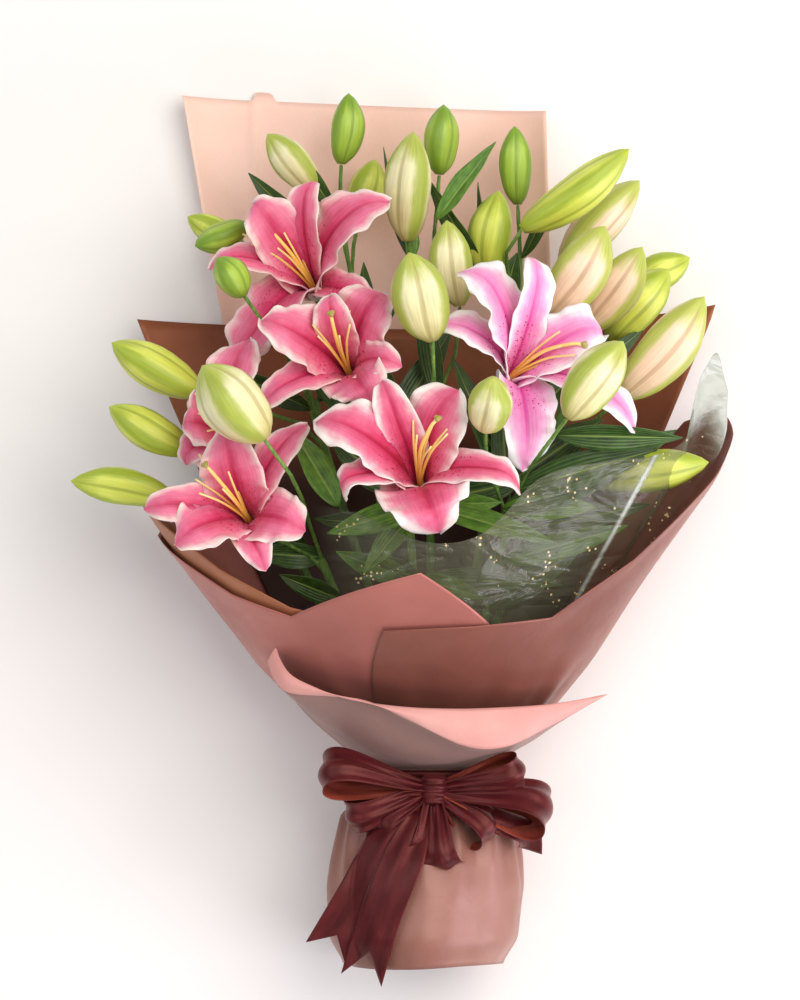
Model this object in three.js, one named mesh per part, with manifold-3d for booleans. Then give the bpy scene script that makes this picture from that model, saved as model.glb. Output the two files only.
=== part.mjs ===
// A hand-tied bunch of oriental lilies in florist's paper with a satin bow, lying on its back. Millimetres.
// +Y runs from the cut stems to the flowers, +Z is up from the surface that the bunch lies on, and +X is to
// the right. Places are given from the middle of the tie, and at the end the whole bunch is moved so that
// the origin is under the middle of its box.
import * as THREE from "three";
import { mergeVertices } from "three/addons/utils/BufferGeometryUtils.js";
import Module from "manifold-3d";

const wasm = await Module();
wasm.setup();

// Driving sizes
const joinGap = 0.4; // clear gap where a bud or flower sits on its stalk
const tieHeight = 78; // middle of the waist above the surface
const waistY = -14; // middle of the waist along the bunch
const spreadX = 1; // how far the flower heads and paper spread sideways
const spreadY = 1; // how far they reach from the waist
const stemRadius = 4.5;
const stalkRadius = 2.4; // of the stalk of one bud or flower
const stemBelowWaist = 146; // cut stems below the waist
const bundleRadius = 17.5; // ring of stems at the waist
const cutRingRadius = 30; // ring of stems at the cut ends
const spiralTurn = 22; // degrees that the ring turns from the waist to the cut ends
const twineWidth = 12;
const twineThickness = 2;
const twineClearance = 2.6; // between the twine and the stems inside it or the paper outside it
const paperThickness = 1.2;
const sheetPitch = 2.4; // from the middle of one layer of paper to the next
const waistFlatness = 18; // how much wider than high the innermost paper is at the waist, on each side
const waistLength = 15; // straight part of the waist on each side of its middle
const skirtLength = 164; // paper below the waist
const skirtHalfWidth = 90;
const ribbonWidth = 26; // band round the waist
const ribbonThickness = 1;
const bowRibbonWidth = 36;

// What follows from them at the waist
const twineRadius = bundleRadius + stemRadius + twineClearance + twineThickness / 2;
const waistHalfHeight = twineRadius + twineThickness / 2 + twineClearance + paperThickness / 2;
const waistHalfWidth = waistHalfHeight + waistFlatness;
const waistTop = waistY + waistLength;

const colours = {
  petal: 0xe0567c,
  bud: 0xb9c25a,
  stem: 0x5f8a3a,
  leaf: 0x3f6b2c,
  outerPaper: 0xc98a80,
  copperPaper: 0x9a5b3e,
  backPaper: 0xf1cdbb,
  cellophane: 0xdfe6e2,
  ribbon: 0x5a2226,
  twine: 0xb9a27a,
};

const bunch = new THREE.Group();

function addPiece(name, geometry, colour, roughness = 0.6) {
  const material = new THREE.MeshStandardMaterial({ color: colour, roughness, metalness: 0 });
  const mesh = new THREE.Mesh(geometry, material);
  mesh.name = name;
  bunch.add(mesh);
  return mesh;
}

// A place in the bunch, from the middle of the tie in X and Y and from the surface in Z.
const place = (x, y, z) => new THREE.Vector3(x * spreadX, y * spreadY, z);

// ---- closed solids from three.js geometry ----

function toSolid(geometry) {
  const bare = new THREE.BufferGeometry().setAttribute("position", geometry.getAttribute("position"));
  if (geometry.index) bare.setIndex(geometry.index);
  const merged = mergeVertices(bare.index ? bare.toNonIndexed() : bare, 1e-4);
  return new wasm.Manifold(
    new wasm.Mesh({
      numProp: 3,
      vertProperties: new Float32Array(merged.attributes.position.array),
      triVerts: new Uint32Array(merged.index.array),
    }),
  );
}

function fromSolid(solid) {
  const mesh = solid.getMesh();
  return new THREE.BufferGeometry()
    .setAttribute("position", new THREE.BufferAttribute(new Float32Array(mesh.vertProperties), 3))
    .setIndex(new THREE.BufferAttribute(new Uint32Array(mesh.triVerts), 1));
}

const joined = (geometries) => fromSolid(geometries.map(toSolid).reduce((all, one) => all.add(one)));

// A tube with flat ends along a curve.
function tube(curve, radius, sides, steps) {
  const section = new THREE.Shape();
  for (let i = 0; i < sides; i++) {
    const angle = (i / sides) * 2 * Math.PI;
    section[i ? "lineTo" : "moveTo"](radius * Math.cos(angle), radius * Math.sin(angle));
  }
  return new THREE.ExtrudeGeometry(section, { steps, extrudePath: curve });
}

// A closed skin over rings of points. Rings that have shrunk to one point need no lid.
function loft(rings) {
  const count = rings[0].length;
  const positions = rings.flat().flatMap((p) => p.toArray());
  const index = [];
  for (let r = 0; r + 1 < rings.length; r++) {
    for (let i = 0; i < count; i++) {
      const a = r * count + i;
      const b = r * count + ((i + 1) % count);
      index.push(a, b, a + count, b, b + count, a + count);
    }
  }
  const geometry = new THREE.BufferGeometry();
  geometry.setAttribute("position", new THREE.Float32BufferAttribute(positions, 3));
  geometry.setIndex(index);
  return facingOut(geometry);
}

// A thin sheet over a grid of points: full thickness inside, drawn down to an edge along its border.
// With a closed grid, the last column meets the first.
function sheet(grid, thickness, closed = false) {
  const rows = grid.length;
  const columns = grid[0].length;
  const column = (c) => (closed ? (c + columns) % columns : Math.min(Math.max(c, 0), columns - 1));
  const row = (r) => Math.min(Math.max(r, 0), rows - 1);
  const along = new THREE.Vector3();
  const across = new THREE.Vector3();
  const faces = [[], []];
  for (let r = 0; r < rows; r++) {
    for (let c = 0; c < columns; c++) {
      along.subVectors(grid[row(r + 1)][c], grid[row(r - 1)][c]);
      across.subVectors(grid[r][column(c + 1)], grid[r][column(c - 1)]);
      const normal = across.clone().cross(along).normalize();
      const border = r === 0 || r === rows - 1 || (!closed && (c === 0 || c === columns - 1));
      const half = border ? 0 : thickness / 2;
      faces[0].push(grid[r][c].clone().addScaledVector(normal, half));
      faces[1].push(grid[r][c].clone().addScaledVector(normal, -half));
    }
  }
  const positions = faces.flat().flatMap((p) => p.toArray());
  const index = [];
  const under = rows * columns;
  for (let r = 0; r + 1 < rows; r++) {
    for (let c = 0; c < (closed ? columns : columns - 1); c++) {
      const a = r * columns + c;
      const b = r * columns + column(c + 1);
      index.push(a, b, a + columns, b, b + columns, a + columns);
      index.push(under + a, under + a + columns, under + b);
      index.push(under + b, under + a + columns, under + b + columns);
    }
  }
  const geometry = new THREE.BufferGeometry();
  geometry.setAttribute("position", new THREE.Float32BufferAttribute(positions, 3));
  geometry.setIndex(index);
  return facingOut(geometry);
}

// The same geometry with its faces turned to point out, and no faces that have shrunk to a line.
function facingOut(geometry) {
  const merged = mergeVertices(geometry, 1e-4);
  const kept = [];
  const p = merged.attributes.position;
  let volume = 0;
  for (let i = 0; i < merged.index.count; i += 3) {
    const [a, b, c] = [0, 1, 2].map((k) => merged.index.array[i + k]);
    if (a === b || b === c || a === c) continue;
    kept.push(a, b, c);
    const [u, v, w] = [a, b, c].map((k) => new THREE.Vector3().fromBufferAttribute(p, k));
    volume += u.dot(v.cross(w));
  }
  if (volume < 0) kept.reverse();
  merged.setIndex(kept);
  return merged;
}

// ---- flower heads ----

// Outline of a bud: share of its length, share of its half width.
const budOutline = [
  [0, 0.28],
  [0.12, 0.62],
  [0.3, 0.92],
  [0.5, 1],
  [0.7, 0.84],
  [0.88, 0.46],
  [1, 0],
];

// Buds by stem: base and tip, then the width across the middle.
const buds = {
  bud_01: { base: place(-81, 553, 62), tip: place(-74, 618, 68), width: 27 },
  bud_02: { base: place(-103, 528, 84), tip: place(-148, 578, 96), width: 30 },
  bud_03: { base: place(-66, 500, 34), tip: place(-50, 560, 34), width: 31 },
  bud_04: { base: place(-20, 479, 106), tip: place(-15, 578, 120), width: 38 },
  bud_05: { base: place(9, 543, 66), tip: place(13, 607, 74), width: 28 },
  bud_06: { base: place(81, 516, 58), tip: place(78, 588, 66), width: 26 },
  bud_07: { base: place(-172, 481, 84), tip: place(-221, 503, 88), width: 23 },
  bud_08: { base: place(-166, 494, 112), tip: place(-213, 474, 120), width: 24 },
  bud_09: { base: place(-166, 424, 194), tip: place(-190, 458, 204), width: 27 },
  bud_10: { base: place(54, 445, 92), tip: place(63, 526, 102), width: 35 },
  bud_11: { base: place(83, 488, 132), tip: place(180, 560, 146), width: 33 },
  bud_12: { base: place(121, 457, 66), tip: place(192, 537, 78), width: 36 },
  bud_13: { base: place(106, 407, 152), tip: place(157, 488, 178), width: 43 },
  bud_14: { base: place(142, 398, 118), tip: place(192, 472, 136), width: 37 },
  bud_15: { base: place(182, 437, 52), tip: place(239, 468, 56), width: 30 },
  bud_16: { base: place(164, 392, 76), tip: place(218, 455, 90), width: 38 },
  bud_17: { base: place(171, 335, 150), tip: place(246, 425, 172), width: 42 },
  bud_18: { base: place(120, 312, 278), tip: place(168, 378, 300), width: 40 },
  bud_19: { base: place(48, 301, 268), tip: place(54, 346, 308), width: 34 },
  bud_20: { base: place(2, 383, 222), tip: place(-19, 459, 252), width: 44 },
  bud_21: { base: place(27, 418, 142), tip: place(15, 495, 152), width: 34 },
  bud_22: { base: place(-206, 339, 152), tip: place(-286, 384, 164), width: 34 },
  bud_23: { base: place(-216, 287, 148), tip: place(-289, 327, 152), width: 31 },
  bud_24: { base: place(-232, 246, 156), tip: place(-323, 260, 154), width: 29 },
  bud_25: { base: place(-146, 293, 278), tip: place(-200, 357, 296), width: 49 },
  bud_26: { base: place(144, 262, 148), tip: place(251, 277, 150), width: 33 },
};

function addBud(name, { base, tip, width }) {
  const axis = tip.clone().sub(base);
  const length = axis.length() - joinGap;
  axis.normalize();
  const profile = [new THREE.Vector2(0, 0)];
  for (const [share, swell] of budOutline) {
    profile.push(new THREE.Vector2((swell * width) / 2, share * length));
  }
  const mesh = addPiece(name, new THREE.LatheGeometry(profile, 8), colours.bud, 0.5);
  mesh.quaternion.setFromUnitVectors(new THREE.Vector3(0, 1, 0), axis);
  mesh.position.copy(base).addScaledVector(axis, joinGap);
}

// Open flowers: the throat, where the six tepals meet, and the tip of each tepal from the throat.
const flowers = {
  bloom_1: {
    throat: place(-101, 428, 100),
    tips: [
      [-4, 108, 52],
      [61, 90, 50],
      [57, -8, 48],
      [-80, -66, 38],
      [-101, 29, 44],
      [-60, 85, 50],
    ],
  },
  bloom_2: {
    throat: place(-70, 352, 146),
    tips: [
      [-22, 80, 66],
      [32, 84, 52],
      [43, 12, 76],
      [20, -26, 84],
      [-85, -26, 66],
      [-81, 51, 62],
    ],
  },
  bloom_3: {
    throat: place(66, 343, 164),
    tips: [
      [25, 121, 44],
      [93, 53, 34],
      [124, -34, 38],
      [21, -70, 62],
      [-60, 61, 50],
      [-38, 112, 50],
    ],
  },
  bloom_4: {
    throat: place(-6, 248, 204),
    tips: [
      [-38, 101, 44],
      [30, 92, 44],
      [93, 12, 66],
      [14, -44, 82],
      [-88, 2, 62],
      [-93, 65, 58],
    ],
  },
  bloom_5: {
    throat: place(-161, 221, 176),
    tips: [
      [50, 93, 42],
      [50, -4, 68],
      [14, -40, 74],
      [-66, -18, 70],
      [-95, 14, 52],
      [-20, 84, 66],
    ],
  },
  bloom_6: {
    throat: place(-170, 298, 128),
    tips: [
      [-42, 44, 58],
      [6, 90, 48],
      [24, 14, 66],
      [-20, -34, 62],
      [-57, -22, 50],
      [-54, 14, 58],
    ],
  },
};
const tepalHalfWidths = [17, 24]; // outer and inner tepals in turn
const tepalThickness = 2.2;
const tepalRoot = { reach: 3, halfWidth: 2.4 }; // where a tepal grows out of the receptacle
const throatRise = 0.52; // how far up the trumpet the tepals begin to open, as a share of their reach
const receptacle = { radius: 5, below: 5, above: 5 };
const filament = { radius: 1.2, length: 62, root: 1.8, lean: 0.1 };
const pistil = { radius: 1.8, length: 74 };

// The way a flower faces: from its throat to the middle of its tips.
function facingOf(tips) {
  const facing = new THREE.Vector3();
  for (const tip of tips) facing.add(new THREE.Vector3(...tip));
  return facing.normalize();
}

// One tepal: a blade along a curve that climbs the trumpet, opens and bends over at the tip.
function tepal(facing, tip, halfWidth) {
  const out = tip.clone().addScaledVector(facing, -tip.dot(facing));
  const rise = tip.length() * throatRise;
  const root = out.clone().setLength(tepalRoot.reach);
  const curve = new THREE.CubicBezierCurve3(
    root,
    root.clone().addScaledVector(facing, rise).addScaledVector(out, 0.06),
    tip.clone().addScaledVector(out, -0.35).addScaledVector(facing, 0.22 * rise),
    tip,
  );
  const stations = 5;
  const rings = [];
  for (let i = 0; i <= stations; i++) {
    const t = i / stations;
    const middle = curve.getPoint(t);
    const along = curve.getTangent(t);
    const inward = facing.clone().addScaledVector(along, -along.dot(facing)).normalize();
    if (i === 0) inward.copy(root).normalize().negate();
    const side = along.clone().cross(inward).normalize();
    const swell = Math.sin(Math.PI * Math.min(1, 0.86 * t + 0.02));
    const half = i === stations ? 0 : tepalRoot.halfWidth + (halfWidth - tepalRoot.halfWidth) * swell;
    const thick = i === stations ? 0 : tepalThickness / 2;
    const cup = 0.22 * half;
    rings.push([
      middle.clone().addScaledVector(side, half).addScaledVector(inward, cup),
      middle.clone().addScaledVector(inward, thick),
      middle.clone().addScaledVector(side, -half).addScaledVector(inward, cup),
      middle.clone().addScaledVector(inward, -thick),
    ]);
  }
  rings.unshift(rings[0].map(() => root.clone().addScaledVector(facing, -tepalThickness)));
  return loft(rings);
}

function rod(from, to, radius, sides) {
  return tube(new THREE.LineCurve3(from, to), radius, sides, 1);
}

function addBloom(name, { throat, tips }) {
  const facing = facingOf(tips);
  const pieces = tips.map((tip, i) => tepal(facing, new THREE.Vector3(...tip), tepalHalfWidths[i % 2]));
  pieces.push(
    rod(
      facing.clone().multiplyScalar(joinGap - receptacle.below),
      facing.clone().multiplyScalar(receptacle.above),
      receptacle.radius,
      8,
    ),
  );
  const top = facing.clone().multiplyScalar(receptacle.above - tepalThickness);
  pieces.push(rod(top, facing.clone().multiplyScalar(pistil.length), pistil.radius, 5));
  for (const tip of tips) {
    const out = new THREE.Vector3(...tip);
    out.addScaledVector(facing, -out.dot(facing)).normalize();
    const from = top.clone().addScaledVector(out, filament.root);
    const way = facing.clone().addScaledVector(out, filament.lean).normalize();
    pieces.push(rod(from, from.clone().addScaledVector(way, filament.length), filament.radius, 3));
  }
  const mesh = addPiece(name, joined(pieces), colours.petal, 0.5);
  mesh.position.copy(throat);
}

// ---- stems ----

// Each stem: its place in the ring at the tie in degrees (none for the one in the middle), the top of its
// main stem, and the buds and flowers that it carries, from the lowest stalk to the highest.
const stems = {
  stem_1: { ring: 232, top: place(-72, 450, 52), heads: ["bud_03", "bud_02", "bud_01"] },
  stem_2: { ring: 270, top: place(2, 445, 48), heads: ["bud_04", "bud_05"] },
  stem_3: { ring: 308, top: place(82, 420, 54), heads: ["bud_10", "bud_12", "bud_11", "bud_06"] },
  stem_4: {
    ring: 345,
    top: place(122, 330, 84),
    heads: ["bud_17", "bud_16", "bud_15", "bud_14", "bud_13"],
  },
  stem_5: {
    ring: null,
    top: place(-112, 345, 76),
    heads: ["bud_22", "bloom_1", "bud_09", "bud_07", "bud_08"],
  },
  stem_6: { ring: 190, top: place(-140, 232, 96), heads: ["bud_24", "bud_23", "bloom_6"] },
  stem_7: { ring: 145, top: place(-98, 190, 126), heads: ["bloom_5", "bud_25"] },
  stem_8: { ring: 90, top: place(-22, 268, 128), heads: ["bloom_4", "bloom_2", "bud_21", "bud_20"] },
  stem_9: { ring: 35, top: place(72, 232, 136), heads: ["bud_26", "bud_19", "bud_18", "bloom_3"] },
};
const stalkSpacing = 14; // between stalks along the top of a stem

function headSeat(name) {
  if (buds[name]) {
    const { base, tip } = buds[name];
    return { seat: base, facing: tip.clone().sub(base).normalize() };
  }
  const { throat, tips } = flowers[name];
  const facing = facingOf(tips);
  return { seat: throat.clone().addScaledVector(facing, -receptacle.below), facing };
}

function ringPoint(ring, radius, y, turn = 0) {
  const angle = THREE.MathUtils.degToRad((ring ?? 0) + turn);
  const reach = ring === null ? 0 : radius;
  return new THREE.Vector3(reach * Math.cos(angle), y, tieHeight + reach * Math.sin(angle));
}

function addStem(name, { ring, top, heads }) {
  const atWaist = ringPoint(ring, bundleRadius, waistY);
  const main = new THREE.CatmullRomCurve3([
    ringPoint(ring, cutRingRadius, waistY - stemBelowWaist, spiralTurn),
    ringPoint(ring, bundleRadius, waistY - twineWidth, 2),
    atWaist,
    ringPoint(ring, bundleRadius, waistY + twineWidth),
    atWaist.clone().lerp(top, 0.55),
    top,
  ]);
  const pieces = [tube(main, stemRadius, 6, 9)];
  const length = main.getLength();
  heads.forEach((head, i) => {
    const { seat, facing } = headSeat(head);
    const from = main.getPointAt(1 - (2 + stalkSpacing * (heads.length - 1 - i)) / length);
    const reach = seat.distanceTo(from);
    const stalk = new THREE.CubicBezierCurve3(
      from,
      from.clone().addScaledVector(main.getTangentAt(0.98), 0.3 * reach),
      seat.clone().addScaledVector(facing, -0.35 * reach),
      seat,
    );
    pieces.push(tube(stalk, stalkRadius, 5, 4));
  });
  addPiece(name, joined(pieces), colours.stem, 0.6);
}

// ---- leaves that show between the flowers ----

const leaves = {
  leaf_1: { base: place(-112, 492, 50), tip: place(-166, 545, 66), rise: 10, width: 20 },
  leaf_2: { base: place(6, 498, 118), tip: place(60, 568, 128), rise: 12, width: 22 },
  leaf_3: { base: place(-82, 236, 196), tip: place(-122, 306, 218), rise: 10, width: 28 },
  leaf_4: { base: place(112, 300, 186), tip: place(226, 298, 178), rise: 14, width: 26 },
};
const leafThickness = 1.6;

function addLeaf(name, { base, tip, rise, width }) {
  const up = new THREE.Vector3(0, 0, 1);
  const middle = base.clone().lerp(tip, 0.5).addScaledVector(up, rise);
  const curve = new THREE.QuadraticBezierCurve3(base, middle, tip);
  const stations = 6;
  const rings = [];
  for (let i = 0; i <= stations; i++) {
    const t = i / stations;
    const along = curve.getTangent(t);
    const side = along.clone().cross(up).normalize();
    const normal = side.clone().cross(along);
    const swell = Math.sin(Math.PI * Math.pow(t, 0.8));
    const half = (width / 2) * swell;
    const thick = (leafThickness / 2) * Math.min(1, 3 * swell);
    const at = curve.getPoint(t);
    rings.push([
      at.clone().addScaledVector(side, half),
      at.clone().addScaledVector(normal, thick),
      at.clone().addScaledVector(side, -half),
      at.clone().addScaledVector(normal, -thick),
    ]);
  }
  addPiece(name, loft(rings), colours.leaf, 0.45);
}

// ---- paper ----

// Straight lines through [x, value] points.
function lineThrough(points, x) {
  const last = points.length - 1;
  if (x <= points[0][0]) return points[0][1];
  for (let i = 0; i < last; i++) {
    const [x0, v0] = points[i];
    const [x1, v1] = points[i + 1];
    if (x <= x1) return v0 + ((v1 - v0) * (x - x0)) / (x1 - x0);
  }
  return points[last][1];
}

// The paper cone by distance from the middle of the bunch's frame: half width, sideways shift, middle height,
// rise to the front, and the height of the innermost sheet at the back. It is straight up to waistTop.
const restingHeight = paperThickness / 2 + 3 * sheetPitch;
const cone = {
  halfWidth: [
    [waistTop, waistHalfWidth],
    [20, 68],
    [36, 88],
    [60, 114],
    [95, 147],
    [262, 265],
    [300, 277],
    [420, 290],
  ],
  shift: [
    [36, 0],
    [95, -9],
    [420, -9],
  ],
  middle: [
    [waistTop, tieHeight],
    [60, tieHeight + 10],
    [120, tieHeight + 22],
    [220, tieHeight + 34],
  ],
  front: [
    [waistTop, waistHalfHeight],
    [20, 46],
    [36, 60],
    [60, 84],
    [95, 116],
    [150, 158],
    [207, 186],
    [300, 200],
  ],
  back: [
    [waistTop, tieHeight - waistHalfHeight],
    [20, 44],
    [36, 37],
    [60, 24],
    [95, restingHeight],
  ],
};
const waistRows = [waistTop - 11, waistTop, 20, 36, 60, 95]; // every layer has a row of points at these
const columnStep = 10; // degrees

// A point on a layer of the cone. Degrees run from +X over the front to -X and round the back, which is
// squarer, because it lies on the surface.
function conePoint(degrees, y, layer) {
  const angle = THREE.MathUtils.degToRad(degrees);
  const halfWidth = lineThrough(cone.halfWidth, y) * (y > waistTop ? spreadX : 1) + layer * sheetPitch;
  const shift = lineThrough(cone.shift, y) * spreadX;
  const middle = lineThrough(cone.middle, y);
  const along = y > 0 ? y * spreadY : y;
  const cos = Math.cos(angle);
  const sin = Math.sin(angle);
  const squared = (v) => Math.sign(v) * Math.pow(Math.abs(v), 2 / 3);
  if (sin >= 0 || y <= waistTop) {
    const rise = lineThrough(cone.front, y) + layer * sheetPitch;
    return new THREE.Vector3(shift + halfWidth * cos, along, middle + rise * sin);
  }
  const drop = middle - lineThrough(cone.back, y) + layer * sheetPitch;
  return new THREE.Vector3(shift + halfWidth * squared(cos), along, middle + drop * squared(sin));
}

// Paper that follows the cone up to its free edge, which is given as [degrees, distance along the bunch].
function coneSheet({ edge, layer, rows }) {
  const from = edge[0][0];
  const to = edge[edge.length - 1][0];
  const columns = [from, to, ...edge.slice(1, -1).map(([degrees]) => degrees)];
  for (let d = Math.ceil(from / columnStep) * columnStep; d < to; d += columnStep) {
    if (columns.every((other) => Math.abs(other - d) > columnStep / 3)) columns.push(d);
  }
  columns.sort((a, b) => a - b);
  const grid = waistRows.map((y) => columns.map((degrees) => conePoint(degrees, y, layer)));
  const last = waistRows[waistRows.length - 1];
  for (let r = 1; r <= rows; r++) {
    const climb = (degrees) => last + ((lineThrough(edge, degrees) - last) * r) / rows;
    grid.push(columns.map((degrees) => conePoint(degrees, climb(degrees), layer)));
  }
  return sheet(grid, paperThickness);
}

const wraps = {
  wrap_left: {
    edge: [
      [70, 131],
      [90, 176],
      [130, 138],
      [150, 158],
      [170, 196],
      [180, 212],
      [200, 214],
      [250, 190],
    ],
    layer: 1,
    rows: 2,
    colour: colours.outerPaper,
  },
  wrap_right: {
    edge: [
      [-70, 225],
      [-40, 275],
      [0, 306],
      [15, 262],
      [30, 189],
      [50, 137],
      [75, 129],
      [105, 124],
    ],
    layer: 2,
    rows: 2,
    colour: colours.outerPaper,
  },
  inner_wrap: {
    edge: [
      [120, 139],
      [130, 146],
      [150, 180],
      [170, 240],
      [180, 265],
      [190, 262],
      [200, 236],
    ],
    layer: -0.3,
    rows: 2,
    colour: colours.copperPaper,
  },
};

const innerLayer = -0.4;

// The copper sheet at the back opens out to two corners. Each row gives its distance along the bunch at the
// left, middle and right, and the degrees of its two ends.
function innerSheet() {
  const rows = [
    { at: [-10, -10, -10], from: 210, to: 330 },
    { at: [1, 1, 1], from: 210, to: 330 },
    { at: [20, 20, 20], from: 212, to: 328 },
    { at: [36, 36, 36], from: 216, to: 322 },
    { at: [60, 60, 60], from: 222, to: 316 },
    { at: [95, 95, 95], from: 230, to: 310 },
    { at: [200, 200, 200], from: 232, to: 308 },
    { at: [300, 300, 300], from: 227, to: 316 },
    { at: [412, 404, 425], from: 212, to: 334 },
  ];
  const columns = 10;
  const grid = rows.map(({ at, from, to }) => {
    const row = [];
    for (let c = 0; c <= columns; c++) {
      const share = c / columns;
      const y = lineThrough(at.map((value, i) => [i / 2, value]), share);
      row.push(conePoint(from + (to - from) * share, y, innerLayer));
    }
    return row;
  });
  return sheet(grid, paperThickness);
}

// The tall sheet at the back lies flat on the surface, and its side edges lift a little at the top.
function backSheet() {
  const degrees = [225, 240, 255, 270, 285, 300, 315];
  const waist = waistRows.slice(0, 2).map((y) => degrees.map((d) => conePoint(d, y, 3)));
  const lifts = [1, 0.18, 0, 0, 0, 0.18, 1];
  const flat = paperThickness / 2;
  const stations = [
    { y: 20, left: -56, right: 56, z: conePoint(270, 20, 3).z, lift: 0 },
    { y: 36, left: -70, right: 70, z: conePoint(270, 36, 3).z, lift: 0 },
    { y: 60, left: -88, right: 88, z: conePoint(270, 60, 3).z, lift: 0 },
    { y: 95, left: -108, right: 100, z: flat, lift: 0 },
    { y: 210, left: -150, right: 130, z: flat, lift: 0 },
    { y: 350, left: -180, right: 118, z: flat, lift: 0 },
    { y: 490, left: -206, right: 111, z: flat, lift: 16 },
    { y: 614, left: -228, right: 108, z: flat, lift: 22 },
  ];
  const grid = stations.map(({ y, left, right, z, lift }) =>
    lifts.map((share, i) => place(left + ((right - left) * i) / (lifts.length - 1), y, z + share * lift)),
  );
  return sheet([...waist, ...grid], paperThickness);
}

// Points given as [x, y, z].
const placed = (points) => points.map(([x, y, z]) => place(x, y, z));

// The low collar in front: it climbs from the waist to a crease that stands out, then lies back on the wrap.
function lowCollar() {
  const degrees = [165, 140, 115, 90, 65, 40, 15];
  const roots = waistRows.slice(0, 2).map((y, i) => degrees.map((d) => conePoint(d, y, 3 + 0.4 * i)));
  const belly = placed([
    [-112, 50, 112],
    [-84, 33, 146],
    [-46, 21, 162],
    [0, 14, 168],
    [44, 14, 162],
    [84, 22, 136],
    [112, 40, 108],
  ]);
  const crease = placed([
    [-147, 108, 168],
    [-104, 72, 194],
    [-52, 44, 206],
    [0, 27, 210],
    [54, 16, 206],
    [104, 38, 172],
    [157, 66, 130],
  ]);
  const top = placed([
    [-150, 112, 170],
    [-112, 80, 198],
    [-64, 64, 204],
    [-4, 58, 206],
    [54, 57, 202],
    [110, 60, 170],
    [160, 68, 130],
  ]);
  return sheet([...roots, belly, crease, top], paperThickness);
}

// The skirt round the stems is cinched by the ribbon and rests on the flat under its widest part.
const ringColumns = 16; // round the waist and skirt
const skirtGap = 0.5; // degrees between the two sheets of the skirt
const skirtLayer = 4 * sheetPitch;
const skirtWaist = { halfWidth: waistHalfWidth + skirtLayer, halfHeight: waistHalfHeight + skirtLayer };
const skirtRest = (tieHeight - paperThickness / 2) / Math.cos(Math.PI / ringColumns);
const skirt = {
  // distance from the middle of the waist, half width, half height
  stations: [
    [waistLength - 2, skirtWaist.halfWidth, skirtWaist.halfHeight],
    [2 - waistLength, skirtWaist.halfWidth, skirtWaist.halfHeight],
    [-0.15 * skirtLength, 78, 56],
    [-0.42 * skirtLength, skirtHalfWidth - 3, skirtRest - 3],
    [-0.56 * skirtLength, skirtHalfWidth, skirtRest],
    [-0.86 * skirtLength, skirtHalfWidth - 4, skirtRest],
    [-skirtLength, skirtHalfWidth - 14, skirtRest - 8],
  ],
  lean: -6, // sideways shift of the hem
};

function ringRow(halfWidth, halfHeight, y) {
  const row = [];
  for (let c = 0; c < ringColumns; c++) {
    const angle = ((c + 0.5) / ringColumns) * 2 * Math.PI;
    const [x, z] = [halfWidth * Math.cos(angle), tieHeight + halfHeight * Math.sin(angle)];
    row.push(new THREE.Vector3(x, y, z));
  }
  return row;
}

// One of the two sheets of the skirt, from one column of the ring to another.
function skirtSheet(first, last) {
  const step = 360 / ringColumns;
  const degrees = [];
  for (let c = first; c <= last; c++) degrees.push((c + 0.5) * step);
  degrees[0] += skirtGap / 2;
  degrees[degrees.length - 1] -= skirtGap / 2;
  const grid = skirt.stations.map(([below, halfWidth, halfHeight]) => {
    const shift = skirt.lean * Math.max(0, -below / skirtLength);
    return degrees.map((d) => {
      const angle = THREE.MathUtils.degToRad(d);
      const x = shift + halfWidth * Math.cos(angle);
      return new THREE.Vector3(x, waistY + below, tieHeight + halfHeight * Math.sin(angle));
    });
  });
  return sheet(grid, paperThickness);
}

// Height of the skirt's front at a place, as it would be seen through what lies on it.
function skirtFront(x, y) {
  const along = skirt.stations.map(([below, ...size]) => [waistY + below, size]).reverse();
  const halfWidth = lineThrough(along.map(([at, [w]]) => [at, w]), y);
  const halfHeight = lineThrough(along.map(([at, [, h]]) => [at, h]), y);
  const shift = (skirt.lean * (waistY - y)) / skirtLength;
  const share = Math.min(0.74, Math.abs(x - shift) / halfWidth);
  return tieHeight + halfHeight * Math.sqrt(1 - share * share);
}

// The clear sheet lines the front of the wrap and stands above its edge.
function cellophane() {
  const layer = -1.5;
  const top = placed([
    [-104, 240, 226],
    [-60, 228, 240],
    [-4, 204, 244],
    [46, 212, 244],
    [98, 258, 238],
    [160, 277, 212],
    [214, 292, 182],
    [258, 366, 142],
  ]);
  const degrees = [130, 112, 95, 80, 66, 50, 32, 12];
  const low = waistRows.slice(2).map((y) => degrees.map((d) => conePoint(d, y, layer)));
  const last = low[low.length - 1];
  const middle = last.map((point, i) => point.clone().lerp(top[i], 0.45).add(new THREE.Vector3(0, 0, 5)));
  return sheet([...low, middle, top], paperThickness);
}

// ---- twine, ribbon and bow ----

// A flat band round the waist, as a ring sheet.
function waistBand(halfWidth, halfHeight, width, thickness) {
  const rows = [-0.5, -0.25, 0.25, 0.5];
  const grid = rows.map((share) => ringRow(halfWidth, halfHeight, waistY + share * width));
  return sheet(grid, thickness, true);
}

const bandHalf = { width: skirtWaist.halfWidth + sheetPitch, height: skirtWaist.halfHeight + sheetPitch };
const knotRadius = 12;
const knotHalfLength = 12;
const knotPlace = new THREE.Vector3(4, waistY, tieHeight + bandHalf.height + sheetPitch + knotRadius);

// Loops of the bow: the way each points from the knot, how it rises, and its size.
const bowLoops = [
  { turn: 167, pitch: 16, reach: 48, depth: 11, width: bowRibbonWidth },
  { turn: 6, pitch: 14, reach: 49, depth: 11, width: bowRibbonWidth },
  { turn: -84, pitch: 37, reach: 40, depth: 8, width: 44 },
];

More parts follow.
